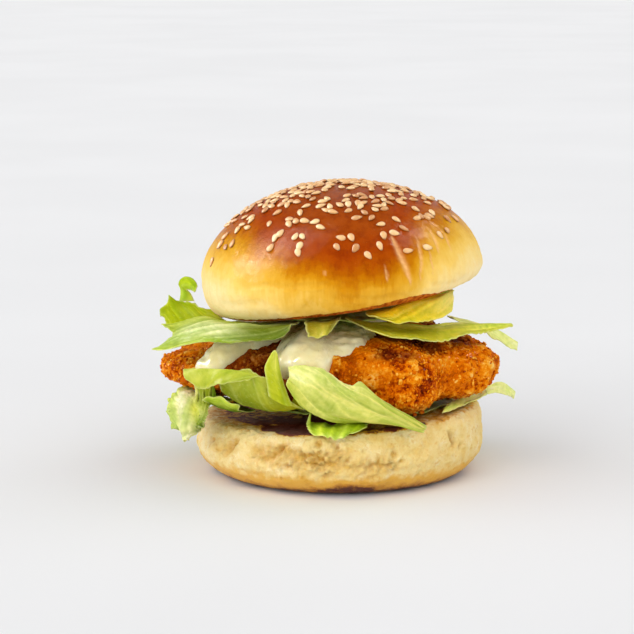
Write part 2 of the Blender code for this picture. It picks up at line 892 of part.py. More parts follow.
def settle(grid, surfaces, clearance):
    """Lays a sheet against what it touches, as a limp leaf does, and leaves it clear of it."""
    rows, columns = len(grid), len(grid[0])
    cells = [(i, j) for i in range(rows) for j in range(columns)]
    links = [(cell, (cell[0] + i, cell[1] + j)) for cell in cells for i, j in ((1, 0), (0, 1), (1, 1))]
    links = [(a, b) for a, b in links if b[0] < rows and b[1] < columns]
    moves = [[Vector() for _ in row] for row in grid]
    for step in range(SETTLE_ROUNDS):
        if step < SETTLE_ROUNDS - SETTLE_LAST:
            moves = spread(moves)
        for a, b in links:
            middle = (grid[a[0]][a[1]] + moves[a[0]][a[1]] + grid[b[0]][b[1]] + moves[b[0]][b[1]]) / 2
            push = pushed(middle, surfaces, clearance) - middle
            moves[a[0]][a[1]] += push
            moves[b[0]][b[1]] += push
        for i, j in cells:
            moves[i][j] = pushed(grid[i][j] + moves[i][j], surfaces, clearance) - grid[i][j]
    return [[p + move for p, move in zip(row, row_moves)] for row, row_moves in zip(grid, moves)]


def sheet_mesh(grid, thick):
    """A closed sheet round a grid of points, both faces split into triangles alike."""
    rows, columns = len(grid), len(grid[0])
    lower, upper = [], []
    for i in range(rows):
        for j in range(columns):
            along_way = grid[min(i + 1, rows - 1)][j] - grid[max(i - 1, 0)][j]
            wide_way = grid[i][min(j + 1, columns - 1)] - grid[i][max(j - 1, 0)]
            normal = along_way.cross(wide_way).normalized()
            upper.append(grid[i][j] + normal * (thick / 2))
            lower.append(grid[i][j] - normal * (thick / 2))
    count = rows * columns
    faces = []
    for i in range(rows - 1):
        for j in range(columns - 1):
            a = i * columns + j
            b, c, d = a + columns, a + columns + 1, a + 1
            faces += [(a, b, c), (a, c, d), (c + count, b + count, a + count)]
            faces.append((d + count, c + count, a + count))
    border = [(0, j) for j in range(columns)]
    border += [(i, columns - 1) for i in range(1, rows)]
    border += [(rows - 1, j) for j in range(columns - 2, -1, -1)]
    border += [(i, 0) for i in range(rows - 2, 0, -1)]
    loop = [i * columns + j for i, j in border]
    for a, b in zip(loop, loop[1:] + loop[:1]):
        faces += [(a, b, b + count), (a, b + count, a + count)]
    return lower + upper, faces


def build():
    crust = material("crust", (0.55, 0.2, 0.035), 0.35)
    crumb = material("crumb", (0.84, 0.66, 0.34), 0.85)
    breading = material("breading", (0.6, 0.2, 0.02), 0.7)
    mayonnaise = material("mayonnaise", (0.88, 0.82, 0.6), 0.3)
    lettuce = material("lettuce", (0.42, 0.6, 0.12), 0.45)

    heel = make_node("bun_heel", *heel_mesh(), crumb)
    cutlet = make_node("cutlet", *cutlet_mesh(), breading)
    sauce = make_node("mayonnaise", *sauce_mesh(surface_of(cutlet)), mayonnaise)
    carve(sauce, swollen(cutlet, GAP))
    crown = make_node("bun_crown", *crown_mesh(), crust)
    surfaces = [surface_of(node) for node in (heel, crown, cutlet, sauce)]
    join_seeds(crown, surfaces[1], crust)

    for leaf in LEAVES:
        sheet = settle(leaf.grid(), surfaces, LEAF_THICK / 2 + GAP + FIT)
        surfaces.append(surface_of(make_node(leaf.name, *sheet_mesh(sheet, LEAF_THICK), lettuce)))


for left_over in list(bpy.data.objects):
    bpy.data.objects.remove(left_over)
build()
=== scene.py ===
"""Looks of the shrimp cutlet burger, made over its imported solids.

Sizes are in millimetres and make_piece scales them to metres. The shapes repeat the part's own,
at a finer grain, so each piece fills the room of the solid that it stands for.
"""

import math
import random
from types import SimpleNamespace

import bmesh
import bpy
import numpy as np
from mathutils import Matrix, Vector, noise
from mathutils.bvhtree import BVHTree


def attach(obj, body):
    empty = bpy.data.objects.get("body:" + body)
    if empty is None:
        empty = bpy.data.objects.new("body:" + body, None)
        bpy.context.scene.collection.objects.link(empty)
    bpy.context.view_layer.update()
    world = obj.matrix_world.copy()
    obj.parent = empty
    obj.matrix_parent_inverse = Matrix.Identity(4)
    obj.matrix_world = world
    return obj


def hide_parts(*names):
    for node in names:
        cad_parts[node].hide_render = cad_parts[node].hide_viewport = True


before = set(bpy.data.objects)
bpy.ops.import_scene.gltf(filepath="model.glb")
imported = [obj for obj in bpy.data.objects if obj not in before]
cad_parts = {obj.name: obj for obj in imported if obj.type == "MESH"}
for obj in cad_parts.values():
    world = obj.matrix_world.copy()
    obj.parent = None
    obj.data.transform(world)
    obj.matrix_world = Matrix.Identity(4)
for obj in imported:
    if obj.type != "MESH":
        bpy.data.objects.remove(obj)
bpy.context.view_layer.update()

MM = 0.001
TAU = 2 * math.pi


# --- Arithmetic ---------------------------------------------------------------------------------


def smooth_step(t):
    t = min(1.0, max(0.0, t))
    return t * t * (3 - 2 * t)


def ease(values):
    """smooth_step for an array."""
    held = np.clip(values, 0, 1)
    return held * held * (3 - 2 * held)


def turn_between(a, b):
    """The angle from b to a in degrees, from -180 to 180."""
    return (a - b + 180) % 360 - 180


def bell(values, width):
    """1 at zero, falling away on both sides within about this width."""
    return np.exp(-((values / width) ** 2))


def hump(degrees, direction, most, width):
    """This much in a direction, falling away on both sides within about width degrees."""
    return most * math.exp(-((turn_between(degrees, direction) / width) ** 2))


def outward(turn):
    """The level unit vector in a direction given in radians."""
    return Vector((math.cos(turn), math.sin(turn), 0))


def along(values, t):
    """A smooth value at t, from 0 to 1, through evenly spaced numbers or points."""
    last = len(values) - 1
    place = min(max(t, 0.0), 1.0) * last
    i = min(int(place), last - 1)
    f = place - i
    p0, p1 = values[max(i - 1, 0)], values[i]
    p2, p3 = values[i + 1], values[min(i + 2, last)]
    slope_in, slope_out = (p2 - p0) * 0.5, (p3 - p1) * 0.5
    rise = (p2 - p1) * (3 * f * f - 2 * f**3)
    return p1 + rise + slope_in * (f**3 - 2 * f * f + f) + slope_out * (f**3 - f * f)


def around(table, degrees):
    """A smooth value at a direction, from a table of (direction, value) that closes on itself."""
    ends = [*table, (table[0][0] + 360, table[0][1])]
    degrees %= 360
    if degrees < ends[0][0]:
        degrees += 360
    for (low, before), (high, after) in zip(ends, ends[1:]):
        if low <= degrees <= high:
            return before + (after - before) * smooth_step((degrees - low) / (high - low))


def unit(vectors):
    return vectors / np.maximum(np.linalg.norm(vectors, axis=-1, keepdims=True), 1e-9)


def grain(points, scale, offset=0.0):
    """Smooth noise from -1 to 1 at each point of an array. scale is in waves per millimetre."""
    shift = Vector((offset, offset * 1.7, -offset))
    values = [noise.noise(Vector(point) * scale + shift) for point in points.reshape(-1, 3)]
    return np.array(values).reshape(points.shape[:-1])


def relief(points, *waves):
    """A sum of grains, each with its height, scale and offset."""
    return sum(height * grain(points, *wave) for height, *wave in waves)


def cells(points, scale):
    """Distance to the nearest of many scattered centres, about 0 to 1, at each point."""
    return np.array([noise.voronoi(Vector(point) * scale)[0][0] for point in points])


# --- Making pieces ------------------------------------------------------------------------------


def turned_faces(rings, sides, start=0, capped=False):
    """Quads between rings of points, stored ring after ring, and a face over each end if capped."""
    faces = []
    for ring in range(rings - 1):
        for side in range(sides):
            a, b = start + ring * sides + side, start + ring * sides + (side + 1) % sides
            faces.append((a, b, b + sides, a + sides))
    if capped:
        first, last = range(start, start + sides), start + (rings - 1) * sides
        faces += [tuple(first), tuple(last + side for side in reversed(range(sides)))]
    return faces


def poled_faces(rings, sides):
    """Faces of rings of points, closed by two poles that are stored after them."""
    pole, last = rings * sides, (rings - 1) * sides
    faces = turned_faces(rings, sides)
    faces += [(pole, side, (side + 1) % sides) for side in range(sides)]
    return faces + [(pole + 1, last + (side + 1) % sides, last + side) for side in range(sides)]


def closed_mesh(name, points, faces):
    """A mesh with every face turned outward."""
    mesh = bpy.data.meshes.new(name)
    mesh.from_pydata(np.asarray(points).tolist(), [], faces)
    work = bmesh.new()
    work.from_mesh(mesh)
    bmesh.ops.recalc_face_normals(work, faces=work.faces)
    work.to_mesh(mesh)
    work.free()
    return mesh


def normals_of(points, faces):
    """The outward normal at each point of a closed surface."""
    mesh = closed_mesh("shape", points, faces)
    normals = np.empty(len(mesh.vertices) * 3)
    mesh.vertex_normals.foreach_get("vector", normals)
    bpy.data.meshes.remove(mesh)
    return normals.reshape(-1, 3)


def surface_of(thing):
    """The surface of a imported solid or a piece, in millimetres."""
    mesh = thing.data
    return BVHTree.FromPolygons([v.co / MM for v in mesh.vertices], [p.vertices for p in mesh.polygons])


def make_object(name, data):
    made = bpy.data.objects.new(name, data)
    bpy.context.scene.collection.objects.link(made)
    return made


def make_piece(name, points, faces, finish, slot, nodes=(), masks=(), colours=None, uv=None, flat=False):
    """One mesh piece with what its material reads at each point. Returns its surface in millimetres."""
    mesh = closed_mesh(name, np.asarray(points) * MM, faces)
    mesh.polygons.foreach_set("use_smooth", [not flat] * len(mesh.polygons))
    for mask, values in dict(masks).items():
        mesh.attributes.new(mask, "FLOAT", "POINT").data.foreach_set("value", np.asarray(values, float))
    if colours is not None:
        filled = np.hstack([colours, np.ones((len(colours), 1))])
        mesh.attributes.new("tint", "FLOAT_COLOR", "POINT").data.foreach_set("color", filled.ravel())
    if uv is not None:
        corners = np.empty(len(mesh.loops), int)
        mesh.loops.foreach_get("vertex_index", corners)
        mesh.uv_layers.new(name="sheet").data.foreach_set("uv", uv[corners].ravel())
    mesh.materials.append(finish)
    piece = make_object(name, mesh)
    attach(piece, "root")
    if nodes:
        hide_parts(*nodes)
    return surface_of(piece)


def light(colour):
    """A display colour, each part from 0 to 255, as linear light."""
    parts = np.asarray(colour, float) / 255
    return np.where(parts <= 0.04045, parts / 12.92, ((parts + 0.055) / 1.055) ** 2.4)


class Nodes:
    """Procedural nodes in a tree. Each method adds one and returns its output."""

    def __init__(self, tree):
        self.tree = tree

    def node(self, kind, inputs=(), **settings):
        """A node whose inputs are other nodes' outputs, numbers or display colours."""
        made = self.tree.nodes.new("ShaderNode" + kind)
        for setting, value in settings.items():
            setattr(made, setting, value)
        for name, value in dict(inputs).items():
            socket = made.inputs[name]
            if isinstance(value, bpy.types.NodeSocket):
                self.tree.links.new(value, socket)
            else:
                socket.default_value = (*light(value), 1) if socket.type == "RGBA" else value
        return made

    def noise(self, where, scale, detail=3.0, roughness=0.6, distortion=0.0):
        sockets = {"Vector": where, "Scale": scale, "Detail": detail, "Roughness": roughness}
        return self.node("TexNoise", {**sockets, "Distortion": distortion}).outputs["Fac"]

    def cells(self, where, scale):
        return self.node("TexVoronoi", {"Vector": where, "Scale": scale}).outputs["Distance"]

    def sum(self, a, b, operation="ADD"):
        return self.node("Math", {0: a, 1: b}, operation=operation).outputs[0]

    def fit(self, value, low, high, to_low=0.0, to_high=1.0, how="SMOOTHSTEP"):
        sockets = {"Value": value, "From Min": low, "From Max": high, "To Min": to_low, "To Max": to_high}
        return self.node("MapRange", sockets, interpolation_type=how).outputs[0]

    def vary(self, where, scale, detail, low, high, roughness=0.6):
        """Noise between two values."""
        return self.fit(self.noise(where, scale, detail, roughness), 0.3, 0.7, low, high)

    def ramp(self, value, *stops):
        made = self.node("ValToRGB", {"Fac": value})
        made.color_ramp.interpolation = "EASE"
        elements = made.color_ramp.elements
        while len(elements) < len(stops):
            elements.new(0.5)
        for element, (place, colour) in zip(elements, stops):
            element.position = place
            element.color = (*light(colour), 1)
        return made.outputs[0]

    def blend(self, factor, a, b, how="MIX"):
        return self.node("Mix", {0: factor, 6: a, 7: b}, data_type="RGBA", blend_type=how).outputs[2]

    def stain(self, colour, value, low, high, share, tint, how="MIX"):
        """Lays up to this share of a tint over a colour as value goes from low to high."""
        return self.blend(self.fit(value, low, high, 0.0, share), colour, tint, how)

    def bump(self, height, depth, under=None):
        """Fine relief. depth is in millimetres."""
        sockets = {"Height": height, "Distance": depth * MM, "Strength": 1.0}
        if under is not None:
            sockets["Normal"] = under
        return self.node("Bump", sockets).outputs[0]


class Finish(Nodes):
    """A procedural material on one Principled shader."""

    def __init__(self, name, **constants):
        self.material = bpy.data.materials.new(name)
        self.material.use_nodes = True
        super().__init__(self.material.node_tree)
        self.shader = self.tree.nodes["Principled BSDF"]
        for socket, value in constants.items():
            self.shader.inputs[socket.replace("_", " ").title().replace("Ior", "IOR")].default_value = value

    def mask(self, name, output="Fac"):
        """What make_piece laid on the piece under this name."""
        return self.node("Attribute", attribute_name=name).outputs[output]

    def place(self, stretch=(1, 1, 1)):
        """The place on the piece in millimetres."""
        where = self.node("TexCoord").outputs["Object"]
        scale = tuple(part / MM for part in stretch)
        return self.node("Mapping", {"Vector": where, "Scale": scale}).outputs[0]

    def set(self, **sockets):
        for socket, value in sockets.items():
            self.tree.links.new(value, self.shader.inputs[socket.replace("_", " ")])
        return self.material


# --- Finishes -----------------------------------------------------------------------------------


def crust_finish():
    """Glazed crust: mahogany on top, through gold, to a pale lip."""
    f = Finish("crust", coat_roughness=0.09, coat_ior=1.25, specular_ior_level=0.0)
    where = f.place()
    level = f.sum(f.mask("level"), f.vary(where, 0.09, 3, -0.03, 0.03))
    level = f.sum(level, f.vary(f.place((1, 1, 0.1)), 0.7, 3, -0.016, 0.016))
    colour = f.ramp(
        f.fit(level, 0.0, 1.4, 0.0, 1.0, "LINEAR"),
        (0.0, (150, 66, 14)), (0.32, (162, 70, 8)), (0.44, (166, 64, 3)), (0.50, (174, 76, 3)),
        (0.543, (183, 94, 2)), (0.586, (197, 117, 4)), (0.62, (211, 141, 14)), (0.657, (225, 164, 40)),
        (0.693, (232, 177, 58)), (0.729, (240, 193, 84)), (0.771, (248, 206, 104)), (0.82, (251, 219, 138)),
        (0.9, (253, 229, 168)), (1.0, (251, 227, 166)),
    )
    brown = f.fit(level, 0.95, 0.7)
    mottle = f.sum(f.fit(f.noise(where, 0.3, 5, 0.65), 0.4, 0.75, 0.0, 0.5), brown, "MULTIPLY")
    colour = f.blend(mottle, colour, (176, 112, 80), "MULTIPLY")
    pale = f.sum(f.fit(f.noise(where, 0.5, 4), 0.45, 0.75, 0.0, 0.3), f.fit(level, 0.9, 1.1), "MULTIPLY")
    colour = f.blend(pale, colour, (244, 196, 104))
    colour = f.stain(colour, f.cells(where, 0.5), 0.09, 0.0, 0.4, (226, 150, 66))
    colour = f.blend(f.mask("mark"), colour, (250, 194, 130))
    toasted = f.ramp(f.noise(where, 0.8, 4), (0.35, (150, 62, 8)), (0.65, (206, 112, 32)))
    toast = f.sum(f.mask("toast"), f.vary(where, 0.5, 5, -0.3, 0.3))
    colour = f.stain(colour, toast, 0.3, 0.75, 1.0, toasted)
    skin = f.bump(f.noise(where, 0.9, 6, 0.62, 0.8), 0.3)
    glaze = f.bump(f.noise(where, 0.7, 5, 0.6, 0.8), 0.07)
    glaze = f.bump(f.noise(where, 2.6, 5, 0.75), 0.085, glaze)
    rough, shine = f.fit(level, 0.6, 1.0, 0.32, 0.7), f.fit(level, 0.85, 1.08, 0.5, 0.12)
    return f.set(Base_Color=colour, Roughness=rough, Normal=skin, Coat_Weight=shine, Coat_Normal=glaze)


def seed_finish():
    f = Finish(
        "sesame", subsurface_weight=0.1, subsurface_scale=0.001,
        coat_weight=0.06, coat_roughness=0.3, coat_ior=1.25,
    )
    where = f.place()
    tint = f.sum(f.mask("tint_share"), f.vary(where, 1.2, 4, -0.12, 0.12))
    colour = f.ramp(tint, (0.0, (206, 142, 80)), (0.45, (232, 178, 114)), (1.0, (246, 208, 148)))
    # Darker at the pointed end and round the edge: browning, with painted shadow along the edge.
    colour = f.blend(f.mask("tip_and_rim_shade"), colour, (118, 58, 18))
    skin = f.bump(f.noise(where, 2.5, 4), 0.06)
    return f.set(Base_Color=colour, Roughness=f.vary(where, 2, 2, 0.4, 0.6), Normal=skin)


def crumb_finish():
    """Soft bread: pale and porous, gold at the foot, toasted on the cut face. Pits and torn bands are a
    darker gold, partly the crumb's own and partly painted shade; the scorch on the cut face carries painted
    shade under the leaves.
    """
    f = Finish("crumb", subsurface_weight=0.18, subsurface_radius=(1.0, 0.6, 0.25), subsurface_scale=0.003)
    where = f.place()
    cloud = f.noise(where, 0.16, 4)
    colour = f.ramp(cloud, (0.3, (239, 202, 114)), (0.5, (246, 218, 144)), (0.7, (250, 230, 174)))
    colour = f.stain(colour, f.noise(where, 1.4, 4), 0.45, 0.75, 0.4, (232, 188, 96))
    colour = f.stain(colour, f.cells(where, 1.1), 0.18, 0.02, 0.5, (214, 164, 72))
    # A darker gold in pits and torn bands: partly the crumb's own colour, partly painted shade in the
    # hollows.
    hollow = f.ramp(f.noise(where, 0.6, 4), (0.35, (204, 148, 36)), (0.6, (232, 186, 82)))
    colour = f.blend(f.mask("pit"), colour, hollow)
    foot = f.sum(f.mask("foot"), f.vary(where, 0.22, 4, -0.16, 0.16))
    toast = f.sum(f.mask("toast"), f.vary(where, 0.45, 6, -0.2, 0.2, 0.65))
    # The darkest toast paints the scorch, which at the front left is painted shade under the leaves.
    for baked, low, high, tint in (
        (foot, 0.05, 0.5, (234, 180, 70)), (foot, 0.55, 0.9, (198, 130, 28)),
        (foot, 0.82, 1.02, (92, 34, 8)), (toast, 0.06, 0.34, (222, 160, 38)),
        (toast, 0.38, 0.56, (136, 60, 10)), (toast, 0.5, 0.74, (106, 34, 6)),
    ):
        colour = f.stain(colour, baked, low, high, 1.0, tint)
    colour = f.blend(f.mask("speck"), colour, (30, 18, 14))
    skin = f.bump(f.noise(where, 0.8, 6, 0.7), 0.6)
    skin = f.bump(f.noise(where, 3.0, 3), 0.16, skin)
    return f.set(Base_Color=colour, Roughness=f.fit(foot, 0.2, 0.9, 0.85, 0.5), Normal=skin)


def breading_finish():
    """Fried breadcrumbs: orange flanks, wet with oil. The dark red-brown of its hollows and the gold of its
    tips are painted shade and painted light over the crumbs' own colour, and the dark mask lays painted
    shade, with some darker frying, in the front-left hollow, under its edge and beneath the leaves.
    """
    f = Finish("breading", coat_weight=0.15, coat_roughness=0.12, coat_ior=1.25, specular_ior_level=0.0)
    where = f.place()
    depth = f.sum(f.mask("crag"), f.vary(where, 0.9, 5, -0.2, 0.2, 0.7))
    # On the crust crag is its height, so its hollows are painted darker as shade and its tips paler as light;
    # on loose flakes it is a random tone.
    colour = f.ramp(
        depth,
        (0.0, (74, 18, 0)), (0.26, (158, 52, 0)), (0.44, (216, 100, 0)),
        (0.64, (240, 142, 12)), (0.82, (251, 180, 54)), (1.0, (255, 218, 120)),
    )
    colour = f.blend(f.sum(f.mask("calm"), 0.35, "MULTIPLY"), colour, (234, 122, 2))
    # Where the dark mask lies: painted shade, with some darker frying.
    burnt_and_shaded = f.ramp(depth, (0.2, (66, 14, 6)), (0.6, (118, 40, 12)), (0.9, (172, 90, 38)))
    colour = f.blend(f.mask("dark"), colour, burnt_and_shaded)
    skin = f.bump(f.noise(where, 1.8, 6, 0.75), 0.35)
    return f.set(Base_Color=colour, Roughness=f.vary(where, 1.1, 3, 0.32, 0.6), Normal=skin)


def sauce_finish():
    f = Finish(
        "mayonnaise", coat_weight=0.16, coat_roughness=0.12, coat_ior=1.25,
        subsurface_weight=0.45, subsurface_radius=(1.0, 0.8, 0.5), subsurface_scale=0.003,
    )
    where = f.place()
    colour = f.ramp(f.noise(where, 0.1), (0.3, (254, 234, 172)), (0.7, (255, 243, 200)))
    colour = f.stain(colour, f.cells(where, 0.2), 0.07, 0.03, 0.6, (150, 118, 60))
    skin = f.bump(f.noise(where, 0.4, 3, 0.5, 0.4), 0.25)
    return f.set(Base_Color=colour, Roughness=f.vary(where, 0.3, 2, 0.22, 0.4), Normal=skin)


def lettuce_finish():
    """Leaf flesh that lets light through, its colours and veins laid on each leaf."""
    f = Finish(
        "lettuce", coat_weight=0.16, coat_roughness=0.2, coat_ior=1.25, specular_ior_level=0.0,
        subsurface_weight=0.25, subsurface_radius=(0.8, 1.0, 0.15), subsurface_scale=0.0014,
    )
    where = f.node("UVMap", uv_map="sheet").outputs[0]
    colour = f.mask("tint", "Color")
    colour = f.stain(colour, f.noise(where, 0.35, 5), 0.35, 0.7, 0.4, (186, 206, 90), "MULTIPLY")
    colour = f.stain(colour, f.noise(where, 0.9, 4, 0.65, 0.6), 0.55, 0.8, 0.3, (232, 236, 150))
    skin = f.bump(f.noise(where, 0.6, 5, 0.6, 0.5), 0.3)
    skin = f.bump(f.noise(where, 2.4), 0.05, skin)
    return f.set(Base_Color=colour, Roughness=f.vary(where, 0.8, 3, 0.3, 0.5), Normal=skin)


def floor_finish():
    f = Finish("floor", specular_ior_level=0.0)
    where = f.place()
    colour = f.ramp(f.noise(where, 0.004, 2), (0.3, (235, 235, 236)), (0.7, (238, 238, 239)))
    return f.set(Base_Color=colour, Roughness=f.vary(where, 0.02, 2, 0.42, 0.5))


# --- Top bun ------------------------------------------------------------------------------------

# A dome over its widest ring, with a rounded lip down to a sloping cut face.
CROWN_RADIUS = 48.8
CROWN_RISE = 30.6
CROWN_CENTRE = Vector((0.7, 0.0, 70.6))
CROWN_LEAN = Matrix.Rotation(-math.radians(3.6), 4, "Y")
CROWN_CUT_RADIUS = 43.7
CROWN_CUT_CENTRE = Vector((1.5, 0.0, 60.9))
CROWN_CUT_SLOPE = (0.148, -0.035)
CROWN_SIDES = 520
DOME_RINGS, LIP_RINGS, CUT_RINGS = 90, 26, 24
LIP_DOWN = 16  # how far the lip counts as further from the top than the widest ring, in degrees
LIP_TALL = 11
CUT_FACE = (1.3, 110, 0.75)  # how brown, how far from the top and how toasted the cut face counts as
# Direction, how much further the lip curls in or is drawn up there, width.
LIP_TUCKED = (205, 2.6, 32)
LIP_RAISED = (352, 2.0, 34)
# How much paler the crust is in each direction, and how much paler the lip grows downwards.
LEVEL_OFFSETS = (
    (0, 0.23), (40, 0.08), (90, 0.0), (140, 0.05), (181, 0.2), (212, 0.2), (235, 0.07), (255, -0.03),
    (275, -0.12), (289, -0.09), (298, -0.02), (306, 0.1), (316, 0.19), (340, 0.27),
)
LIP_LEVELS = (
    (0, 0.26), (212, 0.26), (235, 0.2), (255, 0.12), (275, 0.06), (292, 0.08), (308, 0.18), (330, 0.26),
)
# How far up the lip its toasted edge runs, out of LIP_TALL.
TOAST_LINE = (
    (0, 1.6), (60, 4.0), (120, 2.4), (180, 2.0), (205, 2.5), (235, 2.9), (255, 3.3), (272, 4.0), (284, 5.0),
    (295, 6.3), (304, 6.3), (313, 4.6), (325, 2.6),
)
# Pale stretch marks in the glazed crust: direction and angle from the top at each end, width.
STRETCH_MARKS = (
    (292.6, 59.0, 297.0, 88.0, 0.95), (305.0, 62.0, 302.0, 86.0, 0.55), (315.0, 60.5, 313.8, 72.0, 0.65),
    (287.0, 78.0, 287.0, 85.0, 0.45), (319.0, 52.0, 321.5, 58.0, 0.45), (309.0, 70.0, 308.0, 84.0, 0.35),
    (323.0, 62.0, 322.0, 72.0, 0.5), (262.0, 76.0, 262.5, 80.0, 0.3), (108.0, 60.0, 101.0, 82.0, 1.0),
    (55.0, 66.0, 58.0, 80.0, 0.8), (160.0, 64.0, 164.0, 79.0, 0.7),
)
# Soft folds along the lip: direction and angle from the top at each end, depth.
LIP_FOLDS = (
    (226, 87, 268, 84, 0.55), (205, 96, 240, 93, 0.4), (262, 92, 300, 97, 0.35), (300, 90, 330, 95, 0.3),
    (20, 92, 70, 96, 0.4), (95, 88, 150, 93, 0.5),
)


def crown_cut(x, y):
    """Height of the cut face of the top bun."""
    dx, dy = x - CROWN_CUT_CENTRE.x, y - CROWN_CUT_CENTRE.y
    return CROWN_CUT_CENTRE.z + CROWN_CUT_SLOPE[0] * dx + CROWN_CUT_SLOPE[1] * dy


def crown_rim(turn):
    """A point of the edge of the cut face."""
    away = CROWN_CUT_RADIUS - hump(math.degrees(turn), *LIP_TUCKED)
    rim = CROWN_CUT_CENTRE + outward(turn) * away
    rim.z = crown_cut(rim.x, rim.y)
    return rim


def dome_point(turn, colatitude):
    """A point of the crust, from the crown's top at 0 to its widest ring at 90 degrees."""
    out = outward(turn)
    swell = 1 + 0.012 * noise.noise(out * 1.3 + Vector((0, 0, colatitude * 1.6)))
    place = out * (CROWN_RADIUS * math.sin(colatitude)) * swell
    place.z = CROWN_RISE * math.cos(colatitude) * swell
    return CROWN_CENTRE + CROWN_LEAN @ place


def crown_form():
    """The smooth crown: its points and faces, and how brown, how far from the top and how toasted it is."""
    turns = [TAU * side / CROWN_SIDES for side in range(CROWN_SIDES)]
    lift = [hump(math.degrees(turn), *LIP_RAISED) for turn in turns]
    paler, lip_paler, toast_line = (
        np.array([around(table, math.degrees(turn)) for turn in turns])
        for table in (LEVEL_OFFSETS, LIP_LEVELS, TOAST_LINE)
    )
    points, rows = [], []
    for ring in range(1, DOME_RINGS + 1):
        points += [dome_point(turn, math.radians(ring)) for turn in turns]
        rows.append((ring / 90 + paler, ring, 0.0))
    for step in range(1, LIP_RINGS + 1):
        t = step / LIP_RINGS
        drop, pull = math.sin(t * math.pi / 2), 1 - math.cos(t * math.pi / 2)
        for turn, raised in zip(turns, lift):
            wide, rim = dome_point(turn, math.pi / 2), crown_rim(turn)
            rim.z += raised
            way = (rim.x - wide.x) * pull, (rim.y - wide.y) * pull, (rim.z - wide.z) * drop
            points.append(wide + Vector(way))
        toast = [smooth_step((t - 1 + line / LIP_TALL) / 0.06 + 0.5) for line in toast_line]
        rows.append((1 + lip_paler * t + paler * (1 - 0.3 * t), 90 + LIP_DOWN * t, toast))
    for step in range(1, CUT_RINGS + 1):
        share = (1 - step / (CUT_RINGS + 1)) ** 1.3
        for turn, raised in zip(turns, lift):
            rim = CROWN_CUT_CENTRE.lerp(crown_rim(turn), share)
            rim.z = crown_cut(rim.x, rim.y) + raised * smooth_step(share * 2 - 1)
            points.append(rim)
        rows.append(CUT_FACE)
    points += [dome_point(0, 0), CROWN_CUT_CENTRE.copy()]
    columns = (
        np.concatenate([*(np.broadcast_to(values, CROWN_SIDES) for values in column), (0, at_cut)])
        for column, at_cut in zip(zip(*rows), CUT_FACE)
    )
    return np.array(points), poled_faces(len(rows), CROWN_SIDES), *columns


def make_crown(finish):
    """The top bun at a fine grain: stretch marks, folds, pleats, dents and wrinkles."""
    places, faces, level, down, toast = crown_form()
    turn = np.degrees(np.arctan2(places[:, 1] - CROWN_CENTRE.y, places[:, 0] - CROWN_CENTRE.x))
    mark, sunk = np.zeros(len(places)), np.zeros(len(places))
    for start, high, end, low, width in STRETCH_MARKS:
        share = np.clip((down - high) / (low - high), 0, 1)
        wander = 0.5 * grain(places * (0.2, 0.2, 1), 0.3, start)
        aside = np.radians(turn_between(turn, start + (end - start) * share))
        aside = aside * CROWN_RADIUS * np.sin(np.radians(np.minimum(down, 90))) + wander
        beyond = np.maximum(0, np.maximum(high - down, down - low)) * 0.6
        near = np.exp(-((aside / (width * (0.35 + 0.65 * np.sin(np.pi * share) ** 0.7))) ** 2) - beyond**2)
        mark += near * (0.75 + 0.5 * grain(places, 1.1, 4))
        sunk += near * 0.5 - 0.5 * np.exp(-((aside / (2.4 * width)) ** 2) - beyond**2) * 0.35
    for start, high, end, low, depth in LIP_FOLDS:
        share = (turn - start) % 360 / (end - start)
        line = high + (low - high) * share + 1.6 * grain(places, 0.12, depth * 9)
        ends = ease(share * 5) * ease((1 - share) * 5)
        sunk += depth * ends * (bell(down - line, 1.5) - 0.5 * bell(down - line, 5))
    across = np.stack([np.cos(np.radians(turn)) * 22, np.sin(np.radians(turn)) * 22, down * 0.06], 1)
    pleats = relief(across, (0.34, 1.0), (0.2, 2.3, 3))
    dents = -0.5 * ease((grain(places, 0.12, 9) - 0.15) / 0.4)
    crumb = relief(places, (0.35, 0.6, 5), (0.2, 1.6, 2))
    creased = 0.4 + ease(grain(places, 0.07, 2) + 0.5)
    wrinkles = 0.09 * grain(places, 0.42) + 0.05 * grain(places, 0.9, 6) * creased
    skin = bell(down - 93, 11) * (pleats + dents) - sunk + 0.22 * grain(places, 0.055) + wrinkles
    face = ease((down - 104) / 4)
    heights = skin * (1 - face) + crumb * face
    places = places + normals_of(places, faces) * heights[:, None]
    masks = {"level": level, "mark": np.clip(mark, 0, 0.9), "toast": toast}
    return make_piece("top_bun", places, faces, finish, "crust", ["bun_crown"], masks)


# --- Sesame seeds -------------------------------------------------------------------------------

SEED_LENGTH = 3.3
SEED_WIDTH = 2.1
SEED_THICK = 1.15
SEED_SUNK = 0.3
SOLID_SEEDS, SOLID_SPACING = 82, 4.4  # the solid's own
ALL_SEEDS, SEED_SPACING = 332, 2.15
SEED_SIDES, SEED_RINGS = 10, 8
# Loose seeds low on the front, in degrees: direction, angle from the top, and how far each is turned.
FRONT_SEEDS = (
    (200, 64, 10), (200, 75, 0), (206, 53, 30), (240, 43, 85), (237, 56, 5), (250, 44, 80), (251, 61, -15),
    (251, 65, 20), (256, 45, -70), (260, 49, 60), (275, 57, 15), (276, 64, -35), (281, 69, 35), (287, 64, 5),
    (288, 45, -40), (292, 49, 30), (296, 57, 60), (302, 55, 50), (299, 69, 85), (309, 69, 70), (320, 63, 20),
    (324, 50, 40), (336, 55, 20),
)


def seed_density(x, y):
    """How thickly seeds lie at a place of the dome, in shares of its radius. They thin out to the rim."""
    out = math.hypot(x, y)
    cover = 1 - 0.62 * smooth_step((out - 0.48) / 0.2) - 0.18 * smooth_step((out - 0.74) / 0.12)
    cover -= 0.175 * smooth_step((out - 0.88) / 0.07)
    bare = math.exp(-(((x - 0.05) / 0.2) ** 2 + ((y + 0.3) / 0.16) ** 2))
    return cover * (1 - 0.8 * bare)


